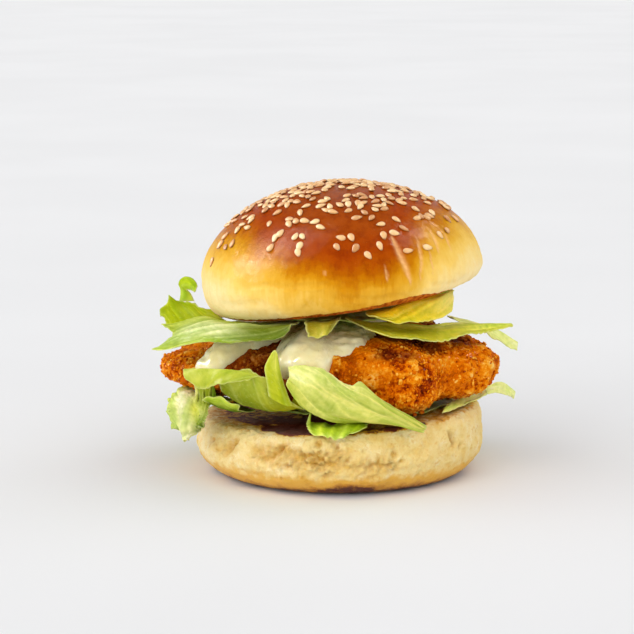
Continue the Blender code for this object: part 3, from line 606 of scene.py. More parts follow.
def seed_places():
    """Turn, angle from the top and heading of each seed: the solid's, the front's, then more between."""
    seeds, taken = [], []

    def add(seed, spacing):
        place = dome_point(*seed[:2])
        if all((place - other).length > spacing for other in taken):
            taken.append(place)
            seeds.append(seed)

    def sow(draw, count, spacing, reach, fussiness):
        while len(seeds) < count:
            turn, out = TAU * draw.random(), reach * math.sqrt(draw.random())
            heading, keep = TAU * draw.random(), draw.random()
            if keep <= seed_density(out * math.cos(turn), out * math.sin(turn)) ** fussiness:
                add((turn, math.asin(out), heading), spacing)

    sow(random.Random(11), SOLID_SEEDS, SOLID_SPACING, 0.97, 1)
    for seed in FRONT_SEEDS:
        add(tuple(math.radians(angle) for angle in seed), SEED_SPACING)
    sow(random.Random(23), ALL_SEEDS, SEED_SPACING, 0.93, 2.2)
    return seeds


def make_seeds(dome, finish):
    """Flat teardrops pressed a little into the crust, darker at the pointed end and round the edge: browning
    there, with painted shadow along the edge where each meets the crust.
    """
    draw = random.Random(5)
    points, faces, tint, tip_and_rim_shade = [], [], [], []
    for turn, tilt, heading in seed_places():
        step = 0.01
        here = dome_point(turn, tilt)
        down = (dome_point(turn, tilt + step) - here).normalized()
        beside = (dome_point(turn + step, tilt) - here).normalized()
        up = down.cross(beside).normalized()
        here = dome.find_nearest(here)[0]
        up = (up + Vector([draw.uniform(-0.16, 0.16) for _ in range(3)])).normalized()
        long_axis = down * math.cos(heading) + beside * math.sin(heading)
        long_axis = (long_axis - up * long_axis.dot(up)).normalized()
        short_axis = up.cross(long_axis)
        length, width = SEED_LENGTH * draw.uniform(0.98, 1.2), SEED_WIDTH * draw.uniform(0.94, 1.16)
        thick, shade = SEED_THICK * draw.uniform(0.9, 1.15), draw.random()
        middle = here + up * (thick / 2 - SEED_SUNK * draw.uniform(0.5, 1.2))
        faces += turned_faces(SEED_RINGS + 1, SEED_SIDES, len(points), capped=True)
        for ring in range(SEED_RINGS + 1):
            s = 0.5 - 0.5 * math.cos(math.pi * (0.06 + 0.88 * ring / SEED_RINGS))
            girth = math.sqrt(max(0.0, 1 - (2 * s - 1) ** 2)) * (0.66 + 0.44 * smooth_step(s * 1.3))
            for side in range(SEED_SIDES):
                angle = TAU * side / SEED_SIDES
                high = math.sin(angle)
                place = long_axis * (length * (0.5 - s)) + short_axis * (girth * width / 2 * math.cos(angle))
                points.append(middle + place + up * (girth * thick / 2 * high * (1.0 if high > 0 else 0.8)))
                # Browning at the pointed ends, and painted shadow on the lower half, which shows as a dark
                # edge.
                browned_and_shaded = (0.75, (0.25 - high) / 0.9), (0.85, (0.16 - s) / 0.16), (0.3, (s - 0.86) / 0.14)
                tip_and_rim_shade.append(max(share * smooth_step(t) for share, t in browned_and_shaded))
        tint += [shade] * (len(points) - len(tint))
    make_piece("sesame_seeds", points, faces, finish, "crust", masks={"tint_share": tint, "tip_and_rim_shade": tip_and_rim_shade})


# --- Bottom bun ---------------------------------------------------------------------------------

# A turned loaf with a flat foot and a cut top that slopes up to the right.
HEEL_RADIUS = 50.2
HEEL_HEIGHT = 22.2
HEEL_SLOPE = 0.05
HEEL_SIDES = 560
HEEL_ROWS = (  # radius, share of the height
    (36.0, 0.0), (38.6, 0.004), (42.6, 0.05), (46.2, 0.16), (48.8, 0.32), (50.2, 0.52), (49.7, 0.72),
    (48.7, 0.9), (46.4, 0.995), (43.0, 1.0), (38.0, 0.99), (32.0, 0.985),
)
HEEL_ROW_STEPS = 96
FOOT_RADII = (3.0, 10.0, 18.0, 26.0, 32.0)
TOP_RADII = (29.0, 25.0, 20.0, 14.0, 8.0, 3.0)
# Holes and tears in the side: direction, height, half width, half height, lean, depth.
HEEL_PITS = (
    (220, 14.6, 1.7, 3.4, 0.35, 2.6), (223.5, 17.0, 1.6, 1.3, 0.0, 1.5), (206, 14.8, 1.6, 1.0, 0.3, 1.5),
    (211, 12.2, 1.2, 0.9, 0.0, 0.8), (247, 16.4, 3.6, 1.7, -0.3, 1.7), (253, 14.0, 3.4, 2.0, -0.4, 1.9),
    (259, 12.6, 3.2, 1.6, 0.0, 1.5), (266, 12.4, 3.4, 1.4, 0.0, 1.3), (261, 19.0, 1.3, 1.1, 0.0, 1.4),
    (272, 11.2, 2.4, 1.0, 0.0, 0.9), (291, 14.8, 1.3, 1.5, 0.0, 1.3), (294, 12.6, 1.2, 0.8, 0.0, 0.7),
    (320, 17.2, 1.3, 3.0, -0.5, 2.2), (325, 14.2, 1.0, 1.6, 0.3, 1.1), (341, 15.0, 0.9, 2.8, 0.0, 1.0),
)
LOOSE_PITS = 16
# Bands of torn crumb: direction, height, half width, half height, strength.
TORN_BANDS = (
    (246, 14.0, 12, 4.6, 1.0), (262, 12.8, 13, 4.4, 1.0), (280, 11.6, 13, 3.4, 0.8), (214, 13.2, 8, 3.0, 0.4),
    (80, 13, 22, 3, 0.9), (150, 12, 16, 3, 0.7),
)
# How scorched the cut face is, where at the front left it runs far inwards as painted shade under the leaves:
# direction, darkness, how far from the rim it starts and ends.
SCORCHED_AND_SHADED = (
    (0, 0.1, 0, 3), (60, 0.8, 0, 12), (120, 0.9, 0, 14), (190, 0.3, 7, 24), (222, 0.8, 9, 44),
    (234, 0.9, 3, 44), (244, 1.15, 0.4, 44), (262, 1.15, 0.2, 44), (270, 1.0, 0, 30), (278, 0.5, 0, 6),
    (288, 1.0, 0, 5), (304, 1.0, 0, 5), (314, 0.4, 0, 4), (330, 0.1, 0, 3),
)
# Charred specks on the side: direction, height.
HEEL_SPECKS = ((307.5, 23.5), (320.5, 27.2), (84, 17.0), (150, 12.0))
SPECK_RADIUS = 0.42


def heel_pits():
    """The named pits, and loose ones round the back."""
    draw = random.Random(8)
    pits = list(HEEL_PITS)
    for _ in range(LOOSE_PITS):
        size = draw.uniform(0.8, 2.4)
        place = draw.uniform(-12, 195), draw.uniform(9, 18)
        pits.append((*place, size * 1.3, size, draw.uniform(-0.5, 0.5), size * 0.8))
    return pits


def heel_form():
    """The smooth heel: its points and faces, and each point's radius and share of the height."""
    rows = [Vector(row) for row in HEEL_ROWS]
    profile = [(radius, 0.0) for radius in FOOT_RADII]
    profile += [tuple(along(rows, t / HEEL_ROW_STEPS)) for t in range(HEEL_ROW_STEPS + 1)]
    profile += [(radius, 0.98) for radius in TOP_RADII]
    points = []
    for radius, share in profile:
        for side in range(HEEL_SIDES):
            out = outward(TAU * side / HEEL_SIDES)
            place = out * (radius * (1 + 0.012 * noise.noise(out * 1.7 + Vector((3, 1, 7)))))
            place.z = share * (HEEL_HEIGHT + HEEL_SLOPE * place.x)
            points.append(place)
    radii, shares = (np.repeat(column, HEEL_SIDES) for column in zip(*profile))
    return np.array(points), turned_faces(len(profile), HEEL_SIDES, capped=True), radii, shares


def heel_aside(turn, direction):
    """How far each point lies from a direction, in millimetres round the side."""
    return np.radians(turn_between(turn, direction)) * HEEL_RADIUS


def torn_band(places, turn):
    """How torn the side is at each point, and how deep the tears there are, both up to about 1."""
    band = np.zeros(len(places))
    for direction, height, wide, high, strength in TORN_BANDS:
        far = np.hypot(heel_aside(turn, direction) / wide, (places[:, 2] - height) / high)
        far = far * (1 + 0.5 * grain(places, 0.2, 12))
        band = np.maximum(band, strength * ease((1.3 - far) / 0.7))
    tears = ease((cells(places * (1, 1, 1.25), 0.3) - 0.44) / 0.16)
    tears = np.maximum(tears, 0.6 * ease((cells(places, 0.55) - 0.46) / 0.14))
    return band, tears * (0.3 + 0.7 * ease(1.4 * grain(places, 0.2, 15) + 0.55))


def cut_toast_and_shade(places, turn):
    """How toasted the cut face is at each point: lightly all over, and scorched in patches near the rim. At
    the front left the scorch runs far inwards as painted shade under the leaves.
    """
    away = np.hypot(places[:, 0], places[:, 1])
    darkness, outer, inner = (
        np.array([around([(row[0], row[n]) for row in SCORCHED_AND_SHADED], t) for t in turn]) for n in (1, 2, 3)
    )
    drawn_out = places * (1, 0.5, 1)
    ragged = 2.2 * grain(drawn_out, 0.25, 19)
    scorch_and_shade = darkness * ease((47.9 - away - outer + ragged * ease(outer)) / 1.4)
    scorch_and_shade *= ease((away - 46.5 + inner) / (0.3 * inner + 0.5))
    scorch_and_shade *= ease(grain(drawn_out, 0.24, 11) * 1.5 + 1.2) * (0.9 + 0.4 * grain(drawn_out, 0.6, 13))
    return 0.1 * ease((48.6 - away) / 1.6) + 0.18 * ease((46 - away) / 5) + 0.74 * scorch_and_shade


def make_heel(finish):
    """The bottom bun at a fine grain: pits, torn bands, pores, and a scorched cut face. Its pits carry
    painted shade in a darker gold, and the scorch runs inwards as painted shade under the leaves.
    """
    places, faces, radii, shares = heel_form()
    z = places[:, 2]
    turn = np.degrees(np.arctan2(places[:, 1], places[:, 0])) % 360
    side_on = ease((radii - 41) / 4) * ease(shares * 9) * ease((1.01 - shares) * 14)
    on_top = ease((shares - 0.955) / 0.03)
    torn = grain(places, 0.42, 3)
    sunk, pit, speck = np.zeros((3, len(places)))
    for direction, height, wide, high, lean, depth in heel_pits():
        lift = z - height
        far = np.hypot((heel_aside(turn, direction) - lean * lift) / wide, lift / high) * (1 + 0.45 * torn)
        sunk = np.maximum(sunk, ease((1.35 - far) / 0.6) * depth * (0.8 + 0.5 * grain(places, 0.9, 7)))
        pit = np.maximum(pit, ease(1.25 - far))
        sunk -= 0.25 * bell(far - 1.6, 0.3) * side_on
    band, tears = torn_band(places, turn)
    sunk += band * (2.4 * tears + 0.9 * ease(grain(places, 0.5, 17) + 0.4) - 0.5)
    # The torn bands take the pits' darker gold, partly painted shade.
    pit = np.maximum(pit, band * np.maximum(tears, 0.55))
    porous = 0.35 + 0.65 * ease(grain(places, 0.13, 6) + 0.5)
    crumb = relief(places, (0.9, 0.1), (0.4, 0.42, 1), (0.3, 1.1, 2))
    crumb = crumb - 0.8 * ease((0.33 - cells(places, 0.5)) / 0.25) * porous
    crumb += np.maximum(pit, band) * relief(places, (0.7, 0.75, 5), (0.3, 1.7, 3))
    heights = side_on * (crumb * (0.25 + 0.75 * ease((z - 3.5) / 4)) - sunk)
    heights = heights + on_top * relief(places, (0.45, 0.3, 4), (0.25, 0.7, 8))
    places = places + normals_of(places, faces) * heights[:, None]
    places[:, 2] = z = np.maximum(places[:, 2], 0)
    foot = 1.08 - z / 8.5 + 0.5 * np.exp(-(((turn - 273) / 11) ** 2) - ((z - 1) / 4) ** 2)
    foot = np.where(shares < 0.5, np.clip(foot, 0, 1.3), 0)
    for direction, height in HEEL_SPECKS:
        far = np.hypot(heel_aside(turn, direction), z - height)
        speck = np.maximum(speck, ease(1.5 - far / SPECK_RADIUS))
    # The cut face's toast, with painted shade under the leaves.
    toast = on_top * cut_toast_and_shade(places, turn)
    masks = {"foot": foot, "toast": toast, "pit": pit * side_on * 0.85, "speck": speck}
    return make_piece("bottom_bun", places, faces, finish, "crumb", ["bun_heel"], masks)


# --- Cutlet -------------------------------------------------------------------------------------

# A rounded slab, wider than the bun, with a hollow at the front left and a lobe at the right.
CUTLET_CENTRE = Vector((-4.0, 0.0, 0.0))
CUTLET_HALF_LENGTH = 58.5
CUTLET_HALF_DEPTH = 45.0
CUTLET_BULGES = (  # direction in degrees, share of the radius, width in degrees
    (239, -0.18, 15), (262, 0.03, 12), (303, 0.1, 15), (322, -0.09, 8), (342, 0.03, 10),
    (20, -0.05, 14), (62, 0.06, 18), (98, -0.07, 12), (130, 0.05, 16), (160, -0.05, 10),
)
CUTLET_SAG = (301, 20, 1.5, 0.26)  # direction, width, how much lower and squarer it is there
CUTLET_SQUARENESS = 0.55, 0.62  # powers that square the section off: outward and upward
CUTLET_SIDES = 620
CUTLET_EDGE = 30  # further out than this, its rings are a fine step apart, and further in a coarse one
CUTLET_STEPS = 0.46, 4.0
CUTLET_SECTION = 48, 12.5  # its usual half width and half height
CUTLET_LOW, CUTLET_HIGH = 26.6, 51.6
CRAG_DEPTH = 1.5
CRUMBS = 5200
CRUMB_LIFT = 0.22
CRUMB_ROOM = 0.7  # how far a loose crumb keeps from other pieces
CRUMBS_FROM = 33  # and how far from the cutlet's middle they start
# How much darker the crust is in each direction: mostly painted shade in the hollow at the front left, with
# some darker frying.
SHADED_SIDE = ((0, 0), (190, 0), (214, 0.4), (226, 0.95), (250, 1), (262, 0.6), (275, 0.12), (300, 0))


def squared(height):
    """How far out and how high the rounded section is, each up to 1, at an angle from its middle."""
    lift = math.sin(height)
    return math.cos(height) ** CUTLET_SQUARENESS[0], math.copysign(abs(lift) ** CUTLET_SQUARENESS[1], lift)


def cutlet_radius(degrees):
    """Plan radius of the cutlet in a direction from its middle."""
    turn = math.radians(degrees)
    oval = 1 / math.hypot(math.cos(turn) / CUTLET_HALF_LENGTH, math.sin(turn) / CUTLET_HALF_DEPTH)
    for bulge in CUTLET_BULGES:
        oval *= 1 + hump(degrees, *bulge)
    return oval


def cutlet_levels(x):
    """Heights of the cutlet's underside and top: it rides up on the leaves at the left."""
    left, right = smooth_step((-x - 8) / 46), smooth_step((x - 20) / 34)
    return CUTLET_LOW + 4.4 * left + 0.6 * right, CUTLET_HIGH - 7.5 * left**2 - 3.6 * right


def cutlet_point(turn, height):
    """A point of the crust: height runs from -90 degrees underneath to 90 on top."""
    lift, reach = math.sin(height), math.cos(height)
    out = outward(turn)
    direction, width, lower, squarer = CUTLET_SAG
    sag = hump(math.degrees(turn), direction, 1, width)
    away = cutlet_radius(math.degrees(turn)) * reach ** (CUTLET_SQUARENESS[0] - squarer * sag)
    place = CUTLET_CENTRE + out * away
    low, high = cutlet_levels(place.x)
    low -= lower * sag * smooth_step(away / 12 - 3.2)
    place.z = (low + high) / 2 + (high - low) / 2 * squared(height)[1]
    crags = noise.noise(place * 0.11) + 0.5 * noise.noise(place * 0.26)
    return place + (out * reach + Vector((0, 0, 0.35 * lift))) * (CRAG_DEPTH * crags)


def cutlet_heights():
    """Angles round the cutlet's section, close together at its edge and wide apart in its middle."""
    section = []
    for step in range(-900, 901):
        height = math.radians(step / 10)
        out, up = squared(height)
        section.append((CUTLET_SECTION[0] * out, CUTLET_SECTION[1] * up, height))
    chosen, since = [], 99.0
    for (x0, z0, _), (x1, z1, height) in zip(section, section[1:]):
        since += math.hypot(x1 - x0, z1 - z0)
        if since > CUTLET_STEPS[x1 <= CUTLET_EDGE] and x1 > 4:
            chosen.append(height)
            since = 0.0
    return chosen


def make_cutlet(finish):
    """The breaded crust. Returns its surface, its points, its normals and how dark each point is: mostly
    painted shade, with some darker frying.
    """
    heights = cutlet_heights()
    turns = [TAU * side / CUTLET_SIDES for side in range(CUTLET_SIDES)]
    places = np.array([cutlet_point(turn, height) for height in heights for turn in turns])
    faces = turned_faces(len(heights), CUTLET_SIDES, capped=True)
    lumps = 0.9 * grain(places, 0.15, 2) + 1.2 * (0.48 - cells(places, 0.22))
    calm = ease(1.7 * grain(places, 0.075, 21) + 0.5)
    flakes = (0.75 * (0.45 - cells(places, 0.46)) + 0.4 * grain(places, 0.75, 4)) * (1.2 - 0.55 * calm)
    grit = 0.24 * grain(places, 1.6, 6) * (1.1 - 0.6 * calm)
    normals = normals_of(places, faces)
    crag = lumps + flakes + grit
    fine = places + normals * crag[:, None]
    turn = np.degrees(np.arctan2(places[:, 1], places[:, 0] - CUTLET_CENTRE.x)) % 360
    # Painted shade, with some darker frying: the front-left hollow, under the lower edge, and a band on top
    # where the leaves shade it.
    shaded = np.array([around(SHADED_SIDE, value) for value in turn]) * (0.82 + 0.45 * grain(places, 0.2, 5))
    under = ease((32.5 - places[:, 2]) / 4) * 0.62
    upper = ease((places[:, 2] - 45.0) / 3.5) * ease(grain(places, 0.09, 8) * 2 + 0.75) * 0.9
    dark = np.clip(np.maximum(shaded, np.maximum(under, upper)), 0, 0.95)
    # crag paints shade in the crust's hollows and light on its tips.
    masks = {"crag": np.clip(0.52 + 0.4 * crag, 0, 1), "dark": dark, "calm": calm}
    surface = make_piece("cutlet_crust", fine, faces, finish, "breading", ["cutlet"], masks)
    return surface, fine, normals, dark


def make_breadcrumbs(places, normals, dark, neighbours, finish):
    """Loose flakes of breading stuck over the crust wherever nothing lies against it."""
    draw = random.Random(17)
    ball = bmesh.new()
    bmesh.ops.create_icosphere(ball, subdivisions=1, radius=1.0)
    shape = [v.co.copy() for v in ball.verts]
    shape_faces = [tuple(v.index for v in face.verts) for face in ball.faces]
    ball.free()
    edge = [i for i, (x, y, z) in enumerate(places) if math.hypot(x - CUTLET_CENTRE.x, y) > CRUMBS_FROM]
    points, faces, crag, shade = [], [], [], []
    for _ in range(CRUMBS):
        index = draw.choice(edge)
        place, up = Vector(places[index]), Vector(normals[index])
        size = draw.uniform(0.28, 0.62) * (1.5 if draw.random() < 0.12 else 1)
        if any(other.find_nearest(place, CRUMB_ROOM + size)[0] for other in neighbours):
            continue
        turned = Matrix.Rotation(TAU * draw.random(), 3, "Z")
        turned = turned @ Matrix.Rotation(draw.uniform(-0.9, 0.9), 3, "X")
        turned = up.to_track_quat("Z", "Y").to_matrix() @ turned
        scale = Vector([size * draw.uniform(*ends) for ends in ((0.9, 1.7), (0.7, 1.1), (0.3, 0.7))])
        tone = draw.uniform(0.3, 0.8)
        faces += [tuple(len(points) + i for i in face) for face in shape_faces]
        points += [
            place + up * (size * CRUMB_LIFT) + turned @ (corner * draw.uniform(0.7, 1.2) * scale)
            for corner in shape
        ]
        crag += [tone] * len(shape)
        # Each flake takes the painted shade of the crust beneath it.
        shade += [dark[index] * 0.95] * len(shape)
    masks = {"crag": crag, "dark": shade}
    make_piece("breadcrumbs", points, faces, finish, "breading", masks=masks, flat=True)


# --- Mayonnaise ---------------------------------------------------------------------------------

# A pool on the cutlet with thick drips over its edge.
SAUCE_THICK = 2.2
SAUCE_HEART = Vector((-4.0, 0.0, 36.0))
SAUCE_REACH = (  # direction in degrees, angle above the cutlet's heart where the pool ends
    (0, 44), (40, 30), (70, 8), (80, 7), (105, 24), (138, 8), (165, 24), (188, 24), (198, 20), (205, 9),
    (212, 4), (221, 3), (227, 14), (236, 25), (246, 4), (266, 1), (273, 14), (290, 21), (305, 30), (330, 42),
)
SAUCE_MOUNDS = (  # direction in degrees, extra thickness, width in degrees
    (75, 2.2, 9), (138, 1.6, 7), (214, 4.2, 9), (256, 4.4, 11), (284, 1.4, 10),
)
SAUCE_SIDES = 420
SAUCE_SHARES = [0.2, 0.4, 0.55, 0.65] + [0.7 + 0.3 * (1 - (1 - step / 34) ** 1.5) for step in range(1, 35)]
SAUCE_SUNK = 1.5
NUDGE = Vector((0.0011, 0.0017, 0.0013))
CRUST_SIDES, CRUST_RINGS = 240, 90


def sauce_thickness(degrees, share):
    """How thick the sauce lies from the middle, 0, to its edge, 1, where it dips into the crust."""
    mound = sum(hump(degrees, *place) for place in SAUCE_MOUNDS)
    return (SAUCE_THICK + mound * smooth_step(share * 2 - 0.6)) * (1.05 - 1.4 * share**11)


def smooth_cutlet():
    """The cutlet's crust without its crumbs."""
    points = [
        cutlet_point(TAU * side / CRUST_SIDES, math.pi * (ring / CRUST_RINGS - 0.5))
        for ring in range(1, CRUST_RINGS) for side in range(CRUST_SIDES)
    ]
    points += [cutlet_point(0, -math.pi / 2), cutlet_point(0, math.pi / 2)]
    return BVHTree.FromPolygons(points, poled_faces(CRUST_RINGS - 1, CRUST_SIDES))


def make_sauce(finish):
    """A thick skin over the cutlet, with scalloped drips."""
    sides, crust = SAUCE_SIDES, smooth_cutlet()
    bases, aways, thicks = [], [], []
    for share in SAUCE_SHARES:
        for side in range(sides):
            turn = 360 * side / sides
            out = outward(math.radians(turn))
            end = around(SAUCE_REACH, turn) + 2.6 * noise.noise(out * 6.5) + 1.2 * noise.noise(out * 15)
            height = math.radians(90 + (end - 90) * share**0.7)
            away = out * math.cos(height) + Vector((0, 0, math.sin(height)))
            base = crust.ray_cast(SAUCE_HEART, away)[0] or crust.ray_cast(SAUCE_HEART, away + NUDGE)[0]
            lumps = 1.1 * noise.noise(base * 0.17) + 0.85 * noise.noise(base * 0.36 + Vector((5, 0, 0)))
            thick = sauce_thickness(turn, share)
            bases.append(base)
            aways.append(away)
            thicks.append(thick + lumps * smooth_step((1 - share) * 9) * min(1.0, max(thick, 0.0)))
    shape = (len(SAUCE_SHARES), sides, -1)
    bases, aways, thicks = (np.array(column).reshape(shape) for column in (bases, aways, thicks))
    normals = unit(np.cross(np.gradient(bases, axis=0), np.roll(bases, -2, 1) - np.roll(bases, 2, 1)))
    normals *= np.sign((normals * aways).sum(2, keepdims=True))
    for _ in range(6):
        normals = normals + np.roll(normals, 1, 1) + np.roll(normals, -1, 1)
        normals[1:-1] += normals[:-2] + normals[2:]
        normals = unit(normals)
    lift = unit(normals + 2 * aways)
    points = np.vstack([(bases + lift * thicks).reshape(-1, 3), (bases - lift * SAUCE_SUNK).reshape(-1, 3)])
    count = len(points) // 2
    faces = turned_faces(len(SAUCE_SHARES), sides)
    faces += [tuple(reversed([corner + count for corner in face])) for face in faces]
    faces += [tuple(reversed(range(sides))), tuple(range(count, count + sides))]
    for side in range(count - sides, count):
        after = side + 1 if side + 1 < count else count - sides
        faces.append((side, after, count + after, count + side))
    return make_piece("mayonnaise_pool", points, faces, finish, "mayonnaise", ["mayonnaise"])


# --- Lettuce ------------------------------------------------------------------------------------

# Leaves are thin sheets, laid clear of what they touch: coarsely as the solids are, then finely.
LEAF_CLEAR = 0.8 / 2 + 0.35 + 0.35  # half a solid's thickness, a gap and room for its facets
SETTLE_ROUNDS = 14
SETTLE_LAST = 3  # how many of them no longer share the moves
TOUCHING = 1e-6
PUSH_REACH = 9.0
STRAIGHT_UP = Vector((0.013, 0.021, 1)).normalized()
LEAF_FINE_THICK = 0.55
LEAF_FINE_CLEAR = LEAF_FINE_THICK / 2 + 0.12
FINE_ROUNDS = 3
VEIN_COLOUR = (228, 236, 150)
# A pale rim along torn edges: partly a paler edge, partly a painted highlight where the thin edge catches
# light.
RIM_COLOUR = (240, 242, 160)
LEAVES = []
# What a leaf is unless its row says otherwise.
PLAIN_LEAF = dict(
    ruffle=0.7,  # depth of its wavy free edge
    waves=2.5,  # how many ruffles it has
    torn=0.7,  # how ragged its outline is
    streaks=15,  # direction of its streaks, in degrees from across towards along
    frill=0.2,  # how frilled its free edge is, at a fine grain
    end_frilled=False,  # whether its far end is too
    curly=0,  # how much finer the frill curls
    ragged=0.4,  # how ragged its free edge is, at a fine grain
    sides=0.6,  # how ragged its two ends are, as a share of that
    teeth=0.23,  # teeth of its edge in a millimetre
    reach=0,  # how far it runs on past its free edge
    lead=0,  # how far it runs on before its first end
    crumple=0.7,  # how crumpled its face is
    fine=0.5,  # size of its finest cells
)


def leaf(name, cells, *rails, **shape):
    """Adds a torn leaf: a smooth sheet through rails, from its root under the bun to its free edge.

    All the rails run the same way. cells is how many cells run along the rails and across them in
    its solid, and colours are each a share along, a share across and the colour there.
    """
    rails = [[Vector(point) for point in rail] for rail in rails]
    row = {**PLAIN_LEAF, **shape, "name": "lettuce_" + name, "cells": cells, "rails": rails}
    LEAVES.append(SimpleNamespace(**row))


# What the two layers' leaves share, and those behind the burger.
LAYER = dict(colours=((0.2, 0.5, (190, 205, 110)), (0.8, 0.5, (176, 196, 90))))
BACK = dict(colours=(
    (0.1, 0.2, (212, 222, 150)), (0.9, 0.3, (196, 212, 120)), (0.3, 1, (166, 192, 60)),
    (0.8, 1, (178, 202, 74))), streaks=12, frill=0.8, ragged=0.8)
leaf(
    "lower_layer", (9, 6),
    [(30, -22, 24.8), (0, -28, 24.6), (-28, -20, 26)],
    [(40, -2, 25.2), (0, 0, 24.6), (-38, 2, 27)],
    [(32, 22, 25.2), (0, 29, 24.8), (-28, 22, 27)],
    **LAYER,
)
leaf(
    "upper_layer", (9, 6),
    [(24, -20, 57.5), (4, -28, 57.5), (-12, -20, 56.5)],
    [(36, 2, 57), (4, 2, 56.5), (-26, 2, 55)],
    [(28, 24, 57.5), (4, 30, 57), (-18, 22, 55.5)],
    **LAYER,
)
leaf(
    "left_frill", (12, 4),
    [(-38, 4, 51), (-46, 3, 51.5), (-54, 3, 51), (-61.5, 2.5, 51)],
    [(-42, 5, 53), (-47.5, 4, 54), (-54, 5, 56), (-59.5, 4.5, 55.5), (-62, 3, 53.5)],
    [(-45, 8, 54.5), (-49, 7, 56.5), (-51, 7, 58.5), (-55, 8, 59), (-58, 8, 60), (-60.5, 7, 62), (-61, 6, 59),
     (-64, 4, 56), (-63, 3, 53.5)],
    colours=(
        (0.1, 0.3, (190, 201, 53)), (0.5, 0.3, (186, 199, 45)), (0.9, 0.3, (177, 192, 16)),
        (0.2, 1, (177, 194, 32)), (0.5, 1, (163, 180, 6)), (0.85, 0.9, (162, 179, 3))),
    ruffle=0.5, waves=2.6, torn=0.2, streaks=10, frill=0.7, ragged=0.8,
)
leaf(
    "left_knob", (8, 2),
    [(-57, 9.5, 58), (-56.5, 10.5, 61.5), (-57, 9.5, 64.5), (-55, 6, 67.3), (-51.5, 3, 67), (-50, 2, 64.5)],
    [(-52.5, 9, 58), (-53.5, 9, 61), (-54.5, 7.5, 62.8), (-53.5, 5, 63.6), (-52.3, 3.4, 63.6),
     (-51, 2, 62.8)],
    colours=((0, 0.5, (197, 220, 65)), (0.5, 0.5, (170, 194, 21)), (1, 0.5, (157, 185, 26))),
    ruffle=0.2, waves=1.5, torn=0.1, streaks=80, frill=0.3, ragged=0.3, reach=1.6,
)
# Its colours darken towards its end under the bun: painted shade.
leaf(
    "left_fold", (13, 5),
    [(-14, -31, 57), (-26, -23, 55.5), (-38, -16, 54.5), (-48, -10, 55), (-56, -6.5, 53), (-62.5, -6, 52)],
    [(-16, -43, 58), (-27, -42, 57), (-37, -37.5, 56.5), (-46, -31, 55.5), (-53, -24, 53), (-57.5, -20, 51)],
    [(-17, -47, 57.5), (-24, -47, 54), (-34, -43.5, 52.5), (-45, -36.5, 51.5), (-56, -27, 47.5),
     (-65.5, -20, 46)],
    colours=(
        (0.0, 0.5, (80, 87, 0)), (0.22, 0.6, (99, 114, 0)), (0.3, 1, (99, 116, 0)),
        (0.5, 0.5, (215, 224, 156)), (0.75, 0.5, (215, 224, 152)), (1, 0.3, (156, 177, 23)),
        (0.9, 1, (175, 196, 63)), (0.6, 1, (173, 196, 63)), (0.45, 0.1, (180, 196, 63)),
        (0.85, 0.1, (198, 209, 86))),
    torn=0.3, streaks=80, frill=0.35, ragged=0.7, crumple=0.9,
)
leaf(
    "front_scrap", (5, 5),
    [(0, -34, 59.2), (-6.5, -34, 58.6), (-12, -34, 58)],
    [(-1, -46, 60), (-6.5, -48, 59.5), (-12.5, -47, 59)],
    [(-3.5, -50, 57.5), (-7, -51.5, 55.5), (-11, -51.5, 55.5)],
    colours=((0, 0.6, (124, 107, 3)), (1, 0.6, (133, 116, 6)), (0.5, 1, (196, 184, 64))),
    ruffle=0.3, torn=0.4, streaks=0, frill=0.3, ragged=0.9,
)
leaf(
    "right_bunch", (9, 5),
    [(38, -8, 62.5), (31, -18, 62), (21, -24, 61), (10, -28, 59.5)],
    [(38.5, -18, 67), (33, -27, 66), (24, -34, 65), (16, -38, 63), (8, -40, 61.5)],
    [(38, -23, 60.5), (33.5, -31.5, 58.8), (27, -38, 58.5), (20, -42, 58.8), (12, -43, 60.5)],
    colours=(
        (0, 0.6, (241, 223, 137)), (0.12, 0.6, (247, 227, 105)), (0.35, 0.5, (237, 195, 7)),
        (0.7, 0.6, (227, 186, 6)), (1, 0.8, (202, 182, 28)), (0.5, 1, (241, 214, 42)),
        (0.75, 1, (221, 199, 42))),
    torn=0.4, streaks=75, frill=0.4, crumple=0.9,
)
# Its colours darken at its left end, under the crown: painted shade.
leaf(
    "right_blade", (13, 5),
    [(1, -33, 59.5), (11, -29, 57.5), (20, -24, 55.5), (31, -16, 54), (40, -6, 53.3), (49.5, 0, 52.3),
     (60.5, 4, 51)],
    [(6, -39, 58), (14, -37, 56), (23, -32, 54.5), (32, -25, 53.3), (41, -14, 52.6), (51, -4, 51.9),
     (60.8, 3.5, 50.6)],
    [(14.5, -44, 55.5), (20, -42, 53.6), (27.5, -38, 52), (37, -29, 51), (44, -20, 51), (52, -8, 50.8),
     (60.5, 2.5, 50.2)],
    colours=(
        (0, 0.5, (141, 129, 10)), (0.2, 0.9, (236, 225, 56)), (0.35, 0.6, (166, 158, 15)),
        (0.35, 1, (166, 158, 15)), (0.6, 0.5, (226, 220, 56)), (0.6, 1, (220, 218, 61)),
        (0.85, 0.5, (236, 240, 102)), (0.9, 0, (247, 253, 149)), (0.5, 0, (238, 237, 102))),
    torn=0.5, streaks=84, frill=0.3, ragged=0.8, crumple=0.9,
)
leaf(
    "right_strip", (8, 3),
    [(38, 16, 52), (48, 16, 50), (57.5, 18, 45.5), (64, 22, 41)],
    [(40, 8, 52), (50.5, 11, 47), (57, 13, 42.5), (63.5, 20, 38.5)],
    colours=((0, 0.5, (242, 248, 140)), (1, 0.5, (248, 250, 160))),
    ruffle=0.5, torn=0.4, streaks=85,
)
